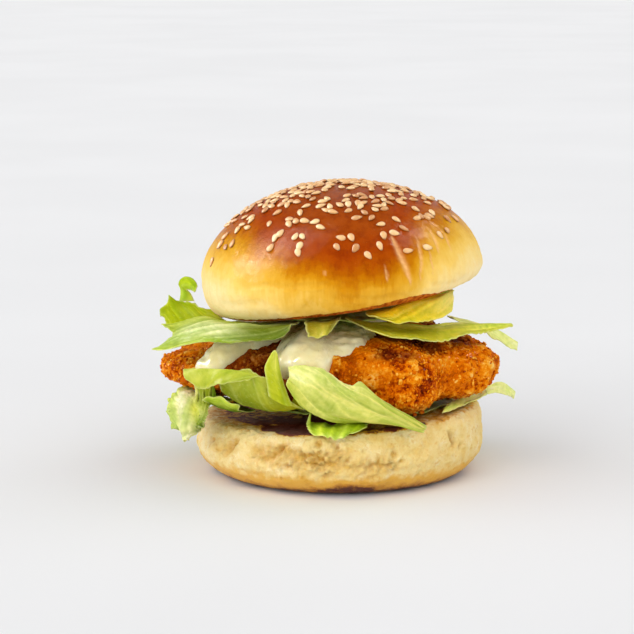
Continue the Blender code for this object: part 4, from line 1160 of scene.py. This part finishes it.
leaf(
    "low_left_frill", (9, 8),
    [(-38, -20, 28.5), (-41, -13, 28.5), (-42, -4, 28.5)],
    [(-45.5, -29, 29.5), (-52, -22, 31.5), (-55, -12, 31)],
    [(-46.5, -34, 26), (-54, -29, 27.5), (-60, -19, 27)],
    [(-47.5, -34, 21.5), (-53, -29, 15.5), (-56.5, -21, 20)],
    colours=(
        (0, 0.3, (150, 160, 20)), (0, 0.9, (112, 140, 12)), (0.25, 0.6, (196, 200, 50)),
        (0.5, 0.5, (252, 244, 200)), (0.5, 0.9, (248, 240, 190)), (0.8, 0.5, (206, 218, 100)),
        (1, 0.5, (180, 204, 70)), (1, 1, (170, 200, 60)), (0.6, 0.1, (206, 196, 110))),
    ruffle=1.3, waves=2.2, torn=0.4, streaks=5, frill=2.2, ragged=1.1, sides=1.0, crumple=0.2, teeth=0.55,
    fine=0.33, lead=5, curly=0.7, end_frilled=True,
)
# Its colours run from pale at its top edge to dark green low down: painted shade towards the gap above the
# bottom bun.
leaf(
    "low_left", (11, 5),
    [(-12, -33, 28.5), (-24, -31, 29), (-35, -27, 29.5)],
    [(-13, -44.5, 31), (-23, -46, 30.2), (-32, -43.5, 31.5), (-40, -40, 35)],
    [(-19, -50, 35.5), (-25, -50.5, 40.5), (-29, -50, 42.8), (-35, -48.5, 43), (-42, -43, 40)],
    colours=(
        (0.1, 0.4, (173, 171, 27)), (0.5, 0.4, (128, 136, 9)), (0.9, 0.5, (123, 134, 9)),
        (0.2, 1, (199, 205, 76)), (0.7, 1, (197, 203, 76))),
    torn=0.4, streaks=20, frill=0.3, ragged=0.7, reach=3.2, crumple=0.8,
)
leaf(
    "low_left_flap", (9, 3),
    [(-27, -53, 43), (-33.5, -51.5, 44.5), (-40.5, -48, 44.5), (-47.5, -41.5, 43.5), (-53.5, -35, 42)],
    [(-31.5, -53.5, 42), (-37, -52, 40.3), (-42, -49, 38.8), (-47, -44, 36.5), (-52.5, -37, 39)],
    colours=(
        (0.1, 0.5, (186, 190, 66)), (0.5, 0.3, (186, 194, 63)), (1, 0.3, (205, 207, 91)),
        (0.6, 1, (171, 180, 48))),
    ruffle=0.2, torn=0.1, streaks=70, frill=0.15, ragged=0.6,
)
leaf(
    "low_spike", (3, 6),
    [(-16.5, -49, 32.5), (-20, -50.5, 33), (-24.5, -51.5, 36)],
    [(-18, -51, 37), (-21, -52.5, 38), (-25, -53, 40.5)],
    [(-20, -54, 44), (-22.5, -55, 45.5), (-25.5, -54.5, 46.5)],
    [(-21.3, -55, 51), (-22, -55, 52.5), (-23, -55, 51)],
    colours=((0.2, 0.3, (180, 190, 27)), (0.8, 0.5, (194, 199, 45)), (0.5, 1, (211, 212, 81))),
    ruffle=0.2, torn=0.1, streaks=0, frill=0.1, ragged=0.2,
)
leaf(
    "low_left_curl", (6, 4),
    [(-30, -27, 26), (-38, -20, 26)],
    [(-35, -35, 27.5), (-44, -28, 28)],
    [(-36, -40, 30), (-41, -36.5, 32), (-47, -33, 30.5)],
    colours=((0.2, 0.3, (96, 120, 6)), (0.8, 0.4, (100, 128, 6)), (0.5, 1, (196, 214, 70))),
    ruffle=0.4, torn=0.2, streaks=60, frill=0.4, lead=3, reach=2,
)
leaf(
    "low_sweep", (14, 8),
    [(24, -36, 24.8), (10, -36, 26), (0, -36, 26.5), (-9, -36, 28)],
    [(27.5, -46.5, 22.6), (12, -50.5, 26.5), (-3, -52, 28), (-12, -53, 32), (-18, -57, 40)],
    [(28.3, -47.3, 23.8), (15, -54, 31), (2, -56.5, 35.5), (-9, -58.5, 40), (-17.5, -58.5, 44)],
    [(28.5, -47.5, 25), (13.5, -53.5, 35.5), (6, -55.5, 42.3), (2.8, -55.5, 40.5), (-4, -56.5, 45.5),
     (-12.5, -57.5, 48), (-18, -58, 47.3)],
    colours=(
        (0, 1, (203, 204, 88)), (0.1, 0.7, (209, 210, 99)), (0.35, 0.6, (209, 212, 103)),
        (0.6, 0.6, (222, 221, 118)), (0.9, 0.8, (250, 248, 156)), (0.6, 1, (235, 232, 147)),
        (0.95, 0.4, (206, 210, 84)), (0.4, 0.2, (175, 180, 46))),
    ruffle=0.4, torn=0.3, streaks=68, frill=0.3, ragged=0.8, crumple=0.9,
)
leaf(
    "low_scrap", (8, 5),
    [(9, -39, 24.2), (-3, -39, 23.8), (-12, -38, 24)],
    [(9, -47.5, 24.6), (-3, -49.3, 24.4), (-12, -47.5, 24.8)],
    [(4, -51.5, 23.5), (-1, -52, 20.8), (-5.5, -52, 21.8), (-11, -51.5, 23)],
    colours=((0.1, 0.5, (168, 190, 24)), (0.6, 0.6, (184, 208, 44)), (0.5, 1, (212, 228, 100))),
    ruffle=0.2, torn=0.3, streaks=5, frill=0.5, ragged=1.3, crumple=1.0,
)
leaf(
    "low_right", (12, 3),
    [(36, -22, 26.5), (42, -8, 27), (48.5, 4, 26.5), (55, 14, 27.8), (60, 20, 26.3), (63.5, 24, 22.5)],
    [(34, -30, 25.5), (41, -18, 25.6), (47.5, -6, 25.2), (54, 8, 25.3), (59.5, 15.5, 22.8), (63, 21, 20.5)],
    colours=((0, 0.5, (252, 248, 136)), (1, 0.5, (252, 252, 168))),
    ruffle=0.5, torn=0.4, streaks=84, frill=0.3,
)
leaf(
    "back_bunch", (11, 4),
    [(28, 22, 61), (12, 31, 59.5), (-6, 32, 57.5)],
    [(34, 31, 62), (16, 43, 60), (-8, 45, 56)],
    [(42, 38, 56), (34, 47, 51), (19, 54, 49), (4, 55, 52), (-10, 52, 50)],
    ruffle=1.2, waves=3.0, torn=0.4, **BACK,
)
leaf(
    "back_left", (11, 4),
    [(-16, 30, 54.5), (-32, 18, 53)],
    [(-20, 43, 53), (-38, 34, 51.5), (-48, 18, 50.5)],
    [(-20, 54, 46), (-34, 52, 50), (-46, 46, 47), (-57, 34, 51), (-62, 20, 48)],
    ruffle=1.3, waves=3.2, torn=0.4, **BACK,
)
leaf(
    "low_back", (11, 4),
    [(34, 26, 24.8), (14, 36, 24.6), (-8, 37, 24.8)],
    [(46, 32, 25), (20, 50, 24.8), (-8, 50, 25)],
    [(54, 34, 21), (42, 47, 23), (24, 56, 18), (6, 56, 23.5), (-10, 55, 19)],
    ruffle=0.9, waves=3.0, torn=0.4, **BACK,
)
leaf(
    "low_back_left", (11, 4),
    [(-18, 34, 26), (-36, 22, 27.5), (-43, 4, 28.5)],
    [(-26, 47, 27), (-45, 33, 28), (-50, 12, 29)],
    [(-24, 57, 24), (-40, 51, 18), (-50, 40, 24), (-57, 26, 19), (-57, 12, 25)],
    ruffle=1.0, waves=3.0, torn=0.4, **BACK,
)


def leaf_point(leaf, u, v):
    """A point of a leaf's sheet: u along its rails and v across them, to its wavy free edge."""

    def smooth(u, v):
        return along([along(rail, u) for rail in leaf.rails], v)

    here, step = smooth(u, v), 0.02
    run = smooth(u + step, v) - smooth(u - step, v)
    reach = (smooth(u, v + step) - smooth(u, v - step)).normalized()
    normal = run.cross(reach).normalized()
    phase = TAU * noise.noise(leaf.rails[-1][0] * 0.37)
    wave = math.sin(TAU * leaf.waves * u + phase + 1.3 * v)
    tear = noise.noise(Vector((9 * u, 0.5, phase)))
    return here + normal * (leaf.ruffle * v * v * wave) + reach * (leaf.torn * 2 * v**3 * tear)


def is_inside(surface, point):
    """Whether the first face straight above a point is seen from within."""
    normal = surface.ray_cast(point, STRAIGHT_UP)[1]
    return normal is not None and normal.dot(STRAIGHT_UP) > 0


def pushed(point, surfaces, clearance):
    """The point moved out of every surface, to at least this far from each."""
    for surface in surfaces:
        near, normal, _, distance = surface.find_nearest(point, PUSH_REACH)
        if near is None:
            continue
        inside = is_inside(surface, point)
        if inside or distance < clearance:
            away = (point - near) / distance if distance > TOUCHING else normal
            point = near + away * (-clearance if inside and distance > TOUCHING else clearance)
    return point


def spread(moves):
    """Shares how far each point was moved, by its row and column, with its neighbours."""
    shared = {}
    for (i, j), move in moves.items():
        beside = [moves.get(cell, move) for cell in ((i - 1, j), (i + 1, j), (i, j - 1), (i, j + 1))]
        shared[i, j] = move.lerp(sum(beside, Vector()) / 4, 0.5)
    return shared


def settled(leaf, surfaces):
    """A leaf's sheet as an array of points, laid against what it touches as a limp leaf lies."""
    rows, columns = leaf.cells[0] + 1, leaf.cells[1] + 1
    grid = {
        (i, j): leaf_point(leaf, i / (rows - 1), j / (columns - 1))
        for i in range(rows) for j in range(columns)
    }
    links = [((i, j), (i + down, j + right)) for i, j in grid for down, right in ((1, 0), (0, 1), (1, 1))]
    moves = {cell: Vector() for cell in grid}
    for step in range(SETTLE_ROUNDS):
        if step < SETTLE_ROUNDS - SETTLE_LAST:
            moves = spread(moves)
        for a, b in links:
            if b in grid:
                middle = (grid[a] + moves[a] + grid[b] + moves[b]) / 2
                push = pushed(middle, surfaces, LEAF_CLEAR) - middle
                moves[a] += push
                moves[b] += push
        for cell, place in grid.items():
            moves[cell] = pushed(place + moves[cell], surfaces, LEAF_CLEAR) - place
    return np.array([tuple(place + moves[cell]) for cell, place in grid.items()]).reshape(rows, columns, 3)


def weights(last, shares):
    """Which evenly spaced points a smooth line is made of at each share, and how much of each."""
    place = np.clip(shares, 0, 1) * last
    i = np.minimum(place.astype(int), last - 1)
    f = place - i
    rise, start, end = 3 * f**2 - 2 * f**3, (f**3 - 2 * f**2 + f) / 2, (f**3 - f**2) / 2
    index = np.stack([np.maximum(i - 1, 0), i, i + 1, np.minimum(i + 2, last)])
    return index, np.stack([-start, 1 - rise - end, rise + start, end])


def sample(grid, u, v):
    """The smooth sheet through a grid of points, at arrays of shares along and across.

    It runs on past 1 across and before 0 along.
    """
    step = 0.04
    beyond, before = np.maximum(v - 1, 0), np.maximum(-u, 0)
    if beyond.any():
        edge = sample(grid, u, np.minimum(v, 1))
        return edge + (edge - sample(grid, u, np.minimum(v, 1) - step)) * (beyond / step)[..., None]
    if before.any():
        edge = sample(grid, np.maximum(u, 0), v)
        return edge + (edge - sample(grid, np.maximum(u, 0) + step, v)) * (before / step)[..., None]
    index_u, weight_u = weights(grid.shape[0] - 1, u)
    index_v, weight_v = weights(grid.shape[1] - 1, v)
    found = 0
    for a in range(4):
        for b in range(4):
            found = found + (weight_u[a] * weight_v[b])[..., None] * grid[index_u[a], index_v[b]]
    return found


def sheet_normals(grid):
    return unit(np.cross(np.gradient(grid, axis=0), np.gradient(grid, axis=1)))


def veins_of(along_mm, across_mm, lean, draw):
    """Branching veins over a sheet laid flat: how near each point is to one, from 0 to 1."""
    length, width = along_mm.max(), across_mm.max()
    heading = np.array([math.sin(lean), math.cos(lean)])
    aside = np.array([heading[1], -heading[0]])
    middle, reach = np.array([length, width]) / 2, math.hypot(length, width) / 2 + 4
    lines = []  # each: its points, how thick it is and how strong
    start = -reach + draw.uniform(0, 4)
    while start < reach:
        bend, fan = draw.uniform(-0.05, 0.05), draw.uniform(-0.12, 0.12)
        ways = np.arange(-reach, reach, 2.0)
        spine = [middle + heading * t + aside * (start + fan * t + bend * t * t / 10) for t in ways]
        lines.append((spine, 0.5, 1.0))
        for number in range(2, len(spine) - 2, 2):
            hand = draw.choice((-1, 1))
            fork = draw.uniform(0.5, 0.9) * hand
            turned = heading * math.cos(fork) + aside * math.sin(fork)
            ways = np.arange(0, draw.uniform(3, 7), 1.5)
            lines.append(([spine[number] + turned * t + heading * (0.05 * t * t) for t in ways], 0.26, 0.4))
        start += draw.uniform(7.0, 13.0)
    found = np.zeros(along_mm.shape)
    for line, thick, strength in lines:
        for (x0, y0), (x1, y1) in zip(line, line[1:]):
            run, rise = x1 - x0, y1 - y0
            t = np.clip(((along_mm - x0) * run + (across_mm - y0) * rise) / (run * run + rise * rise), 0, 1)
            far = np.hypot(along_mm - x0 - t * run, across_mm - y0 - t * rise)
            found = np.maximum(found, strength * bell(far, thick))
    return found


def leaf_tint(colours, u, v):
    """A leaf's tint at each point, between its named colours."""
    total, tint = 0, 0
    for u0, v0, colour in colours:
        near = 1 / ((u - u0) ** 2 + (v - v0) ** 2 + 0.012) ** 1.6
        total = total + near
        tint = tint + near[..., None] * light(colour)
    return tint / total[..., None]


def ragged_edge(shares, length, ragged, seed, teeth):
    """How far a torn edge is drawn in along its length, in millimetres."""
    drawn = []
    for share in shares:
        place = share * length
        wander, tear, nick, scallop = (
            noise.noise(Vector((place * scale, seed, offset)))
            for scale, offset in ((0.09, 2.7), (0.33, 4.1), (0.8, 8.2), (0.13, 0.3))
        )
        saw = (place * teeth + 1.2 * wander) % 1
        tooth = saw / 0.78 if saw < 0.78 else (1 - saw) / 0.22
        worn = 0.7 * (0.5 + 0.5 * scallop) + 0.9 * abs(tear) ** 0.8 + 1.0 * max(0.0, nick - 0.1)
        drawn.append(ragged * (worn + 0.9 * tooth))
    return np.array(drawn)


def sheet_faces(rows, columns):
    """Faces of a closed sheet, its lower points stored row after row and then its upper ones."""
    count = rows * columns
    faces = []
    for i in range(rows - 1):
        for j in range(columns - 1):
            corner = i * columns + j
            quad = (corner, corner + columns, corner + columns + 1, corner + 1)
            faces += [quad, tuple(point + count for point in reversed(quad))]
    border = [(0, j) for j in range(columns)] + [(i, columns - 1) for i in range(1, rows)]
    border += [(rows - 1, j) for j in range(columns - 2, -1, -1)] + [(i, 0) for i in range(rows - 2, 0, -1)]
    loop = [i * columns + j for i, j in border]
    return faces + [(p, q, q + count, p + count) for p, q in zip(loop, loop[1:] + loop[:1])]


def torn_shares(leaf, length, width, seed):
    """Shares along and across a leaf at each point of a fine torn sheet, and how far in from its edges."""
    a = np.linspace(0, 1, max(12, int(length / leaf.fine)) + 1)[:, None]
    b = np.linspace(0, 1, max(10, int(width / leaf.fine)) + 1)[None, :]
    free = ragged_edge(a[:, 0], length, leaf.ragged, seed, leaf.teeth)[:, None] / width
    start, end = (
        ragged_edge(b[0], width, leaf.ragged * leaf.sides, seed + offset, leaf.teeth)[None, :] / length
        for offset in (0.31, 0.67)
    )
    start = start - leaf.lead / length
    u, v = start + a * (1 - start - end), b * (1 - free + leaf.reach / width)
    edge = (1 - b) * width + 0 * u
    if leaf.end_frilled:
        edge = np.minimum(edge, (1 - a) * length + 0.8)
    return u, v, edge, np.minimum(np.minimum(edge, a * length), (1 - a) * length)


def leaf_relief(leaf, flat, turned, edge):
    """Height of a leaf's face without its veins, and how creased it is: frill, bubbles, pleats, creases."""
    ruffle = leaf.curly * grain(flat, 0.5, 15) + 1.6 * grain(flat * (1, 0.35, 1), 0.17)
    ruffle = ruffle + 0.7 * grain(flat * (1, 0.5, 1), 0.36, 5)
    bubbles = relief(flat, (0.35, 0.16, 2), (0.12, 0.4, 7))
    pleats = grain(turned * (0.25, 1, 1), 0.26, 4)
    crease = 1 - np.abs(2.6 * grain(turned * (0.16, 1, 1), 0.2, 12)).clip(0, 1) ** 0.8
    worked = leaf.crumple * (bubbles + 0.8 * pleats + 0.6 * crease)
    return leaf.frill * ruffle * np.exp(-((edge / 5.5) ** 1.5)) + worked, crease


def kept_clear(grid, surfaces):
    """A fine sheet moved clear of other pieces."""
    rows, columns = grid.shape[:2]
    places = {(i, j): Vector(grid[i, j]) for i in range(rows) for j in range(columns)}
    moves = dict.fromkeys(places, Vector())
    for step in range(FINE_ROUNDS):
        for cell, place in places.items():
            moves[cell] = pushed(place + moves[cell], surfaces, LEAF_FINE_CLEAR) - place
        if step < FINE_ROUNDS - 1:
            moves = spread(moves)
    return grid + np.array([tuple(move) for move in moves.values()]).reshape(grid.shape)


def shaded(tint, flat, turned, height, crease):
    """A leaf's tint with its streaks, painted light on its ridges and painted shade in its hollows."""
    streak = relief(turned * (0.12, 1, 1), (1, 0.42, 3), (0.5, 1.1, 9))
    deeper = np.array((0.32, 0.2, 0.5)) * (streak + 0.5 * grain(flat, 0.16, 8))[..., None]
    around_it = height
    for _ in range(5):
        padded = np.pad(around_it, 1, mode="edge")
        beside = padded[:-2, 1:-1] + padded[2:, 1:-1] + padded[1:-1, :-2] + padded[1:-1, 2:]
        around_it = (beside + padded[1:-1, 1:-1]) / 5
    # Painted light on ridges and painted shade in hollows, from the height against its blurred surroundings.
    hollow = np.clip((height - around_it) * 1.8, -0.5, 0.35) + 0.1 * (crease - 0.4)
    return tint * np.clip(1 + deeper, 0.3, 1.6) * (1 + hollow[..., None] * np.array((0.8, 0.6, 1.1)))


def fine_leaf(leaf, coarse, surfaces, seed):
    """A settled leaf at a fine grain: points, faces, colours and a flat map in millimetres."""
    length = np.linalg.norm(np.diff(coarse, axis=0), axis=2).sum(0).mean()
    width = np.linalg.norm(np.diff(coarse, axis=1), axis=2).sum(1).mean()
    u, v, edge, rim = torn_shares(leaf, length, width, seed)

    # The sheet laid flat in millimetres, and turned so that its streaks run along it.
    along_mm, across_mm = u * length, v * width
    flat = np.stack([along_mm, across_mm, np.full_like(u, seed * 3.7)], 2)
    lean = math.radians(leaf.streaks)
    run = along_mm * math.sin(lean) + across_mm * math.cos(lean)
    side_run = along_mm * math.cos(lean) - across_mm * math.sin(lean)
    turned = np.stack([run, side_run, np.full_like(u, seed)], 2)

    vein = veins_of(along_mm, across_mm, lean, random.Random(seed))
    height, crease = leaf_relief(leaf, flat, turned, edge)
    height = height + 0.12 * vein
    grid = sample(coarse, u, v)
    grid = kept_clear(grid + sheet_normals(grid) * height[..., None], surfaces)
    thick = LEAF_FINE_THICK * (0.45 + 0.55 * ease(rim / 1.2)) + 0.25 * vein * ease(rim / 1.5)
    half = sheet_normals(grid) * thick[..., None] / 2

    tint = shaded(leaf_tint(leaf.colours, u, v), flat, turned, height, crease)
    # Pale veins, and a pale rim that is partly painted highlight.
    for pale, share in ((VEIN_COLOUR, 0.13 * vein), (RIM_COLOUR, 0.5 * bell(rim, 0.5))):
        tint = tint + (light(pale) - tint) * share[..., None]
    tint = np.clip(tint, 0.01, 0.95).reshape(-1, 3)
    uv = np.stack([along_mm, across_mm + 90 * seed], 2).reshape(-1, 2)
    return dict(
        points=np.vstack([(grid - half).reshape(-1, 3), (grid + half).reshape(-1, 3)]),
        faces=sheet_faces(*u.shape), colours=np.vstack([tint, tint]), uv=np.vstack([uv, uv]),
    )


def make_lettuce(surfaces, finish):
    """Every leaf, laid as its solid is and then worked finely. Returns their surfaces."""
    solids = [surface_of(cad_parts[name]) for name in ("bun_heel", "bun_crown", "cutlet", "mayonnaise")]
    made = []
    for seed, leaf in enumerate(LEAVES, 1):
        shape = fine_leaf(leaf, settled(leaf, solids), surfaces, seed)
        solids.append(surface_of(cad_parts[leaf.name]))
        name, nodes = leaf.name + "_leaf", [leaf.name]
        made.append(make_piece(name, finish=finish, slot="lettuce", nodes=nodes, **shape))
    return made


# --- Stage --------------------------------------------------------------------------------------

# Camera: where it looks, how far away it is, how far it looks down, and its lens.
AIM = Vector((-8.225, 0.0, 54.0))
CAMERA_AWAY = 900.0
CAMERA_DOWN = math.radians(9.5)
LENS = 146.0
FLOOR_HALF = 12.0  # in metres
WORLD_COLOUR = (0.985, 0.99, 1.0, 1)
WORLD_UPWARD = (0.05, 0.5, 0.955, 0.2)  # the studio's glow, dimmer towards its ceiling
WORLD_FORWARD = (-0.75, 0.15, 0.12, 1.0)  # and dimmer in front
# Broad far lights, each seen only in the shine of things or only in their shading:
# direction in degrees, 0 in front and running to the right, height, strength, how wide.
SHINES = {
    "left_box_low": (-97, 18, 5.4, 17), "left_box_middle": (-91, 34, 5.0, 17),
    "left_box_high": (-101, 51, 3.0, 14), "left_box_top": (-108, 62, 0.8, 14),
    "right_box": (112, 48, 2.4, 16), "back_box": (178, 27, 0.12, 28),
}
SHINE_COLOUR = (1.0, 0.92, 0.8)
FILLS = {
    "front_fill": (-4, 18, 1.22, 90), "low_fill": (-30, 4, 0.85, 60), "left_fill": (-74, 20, 1.45, 90),
    "right_fill": (84, 32, 0.85, 90), "top_fill": (20, 78, 1.04, 120),
}


def aim_camera():
    lens = bpy.data.cameras.new("camera")
    lens.lens = LENS
    lens.clip_end = 100
    eye = make_object("camera", lens)
    eye.location = (AIM - CAMERA_AWAY * Vector((0, math.cos(CAMERA_DOWN), -math.sin(CAMERA_DOWN)))) * MM
    eye.rotation_euler = (math.pi / 2 - CAMERA_DOWN, 0, 0)
    bpy.context.scene.camera = eye


def soft_light(name, direction_deg, height_deg, strength, spread_deg, shine):
    lamp = bpy.data.lights.new(name, "SUN")
    lamp.energy = strength
    lamp.angle = math.radians(spread_deg)
    lamp.color = SHINE_COLOUR if shine else (1, 1, 1)
    side, up = math.radians(direction_deg), math.radians(height_deg)
    towards = Vector((math.sin(side) * math.cos(up), -math.cos(side) * math.cos(up), math.sin(up)))
    placed = make_object(name, lamp)
    placed.rotation_mode = "QUATERNION"
    placed.rotation_quaternion = towards.to_track_quat("Z", "Y")
    placed.location = towards * 2
    placed.visible_glossy, placed.visible_diffuse = shine, not shine


def light_world():
    world = bpy.data.worlds.new("studio")
    world.use_nodes = True
    n = Nodes(world.node_tree)
    heading = n.node("SeparateXYZ", {0: n.node("TexCoord").outputs["Generated"]}).outputs
    upward = n.fit(heading["Z"], *WORLD_UPWARD, "LINEAR")
    forward = n.fit(heading["Y"], *WORLD_FORWARD, "LINEAR")
    sky = n.tree.nodes["Background"].inputs
    n.tree.links.new(n.sum(upward, forward, "MULTIPLY"), sky["Strength"])
    sky["Color"].default_value = WORLD_COLOUR
    bpy.context.scene.world = world


def make_stage():
    mesh = bpy.data.meshes.new("floor")
    corners = [(x * FLOOR_HALF, y * FLOOR_HALF, 0) for x, y in ((-1, -1), (1, -1), (1, 1), (-1, 1))]
    mesh.from_pydata(corners, [], [(0, 1, 2, 3)])
    mesh.materials.append(floor_finish())
    floor = make_object("floor", mesh)
    light_world()
    bpy.context.scene.view_settings.view_transform = "Standard"
    for lights, shine in ((SHINES, True), (FILLS, False)):
        for name, values in lights.items():
            soft_light(name, *values, shine)


def build():
    aim_camera()
    make_stage()
    crown = make_crown(crust_finish())
    make_seeds(crown, seed_finish())
    heel = make_heel(crumb_finish())
    breading = breading_finish()
    cutlet, places, normals, dark = make_cutlet(breading)
    sauce = make_sauce(sauce_finish())
    leaves = make_lettuce([crown, heel, cutlet, sauce], lettuce_finish())
    make_breadcrumbs(places, normals, dark, [sauce, heel, crown, *leaves], breading)


build()
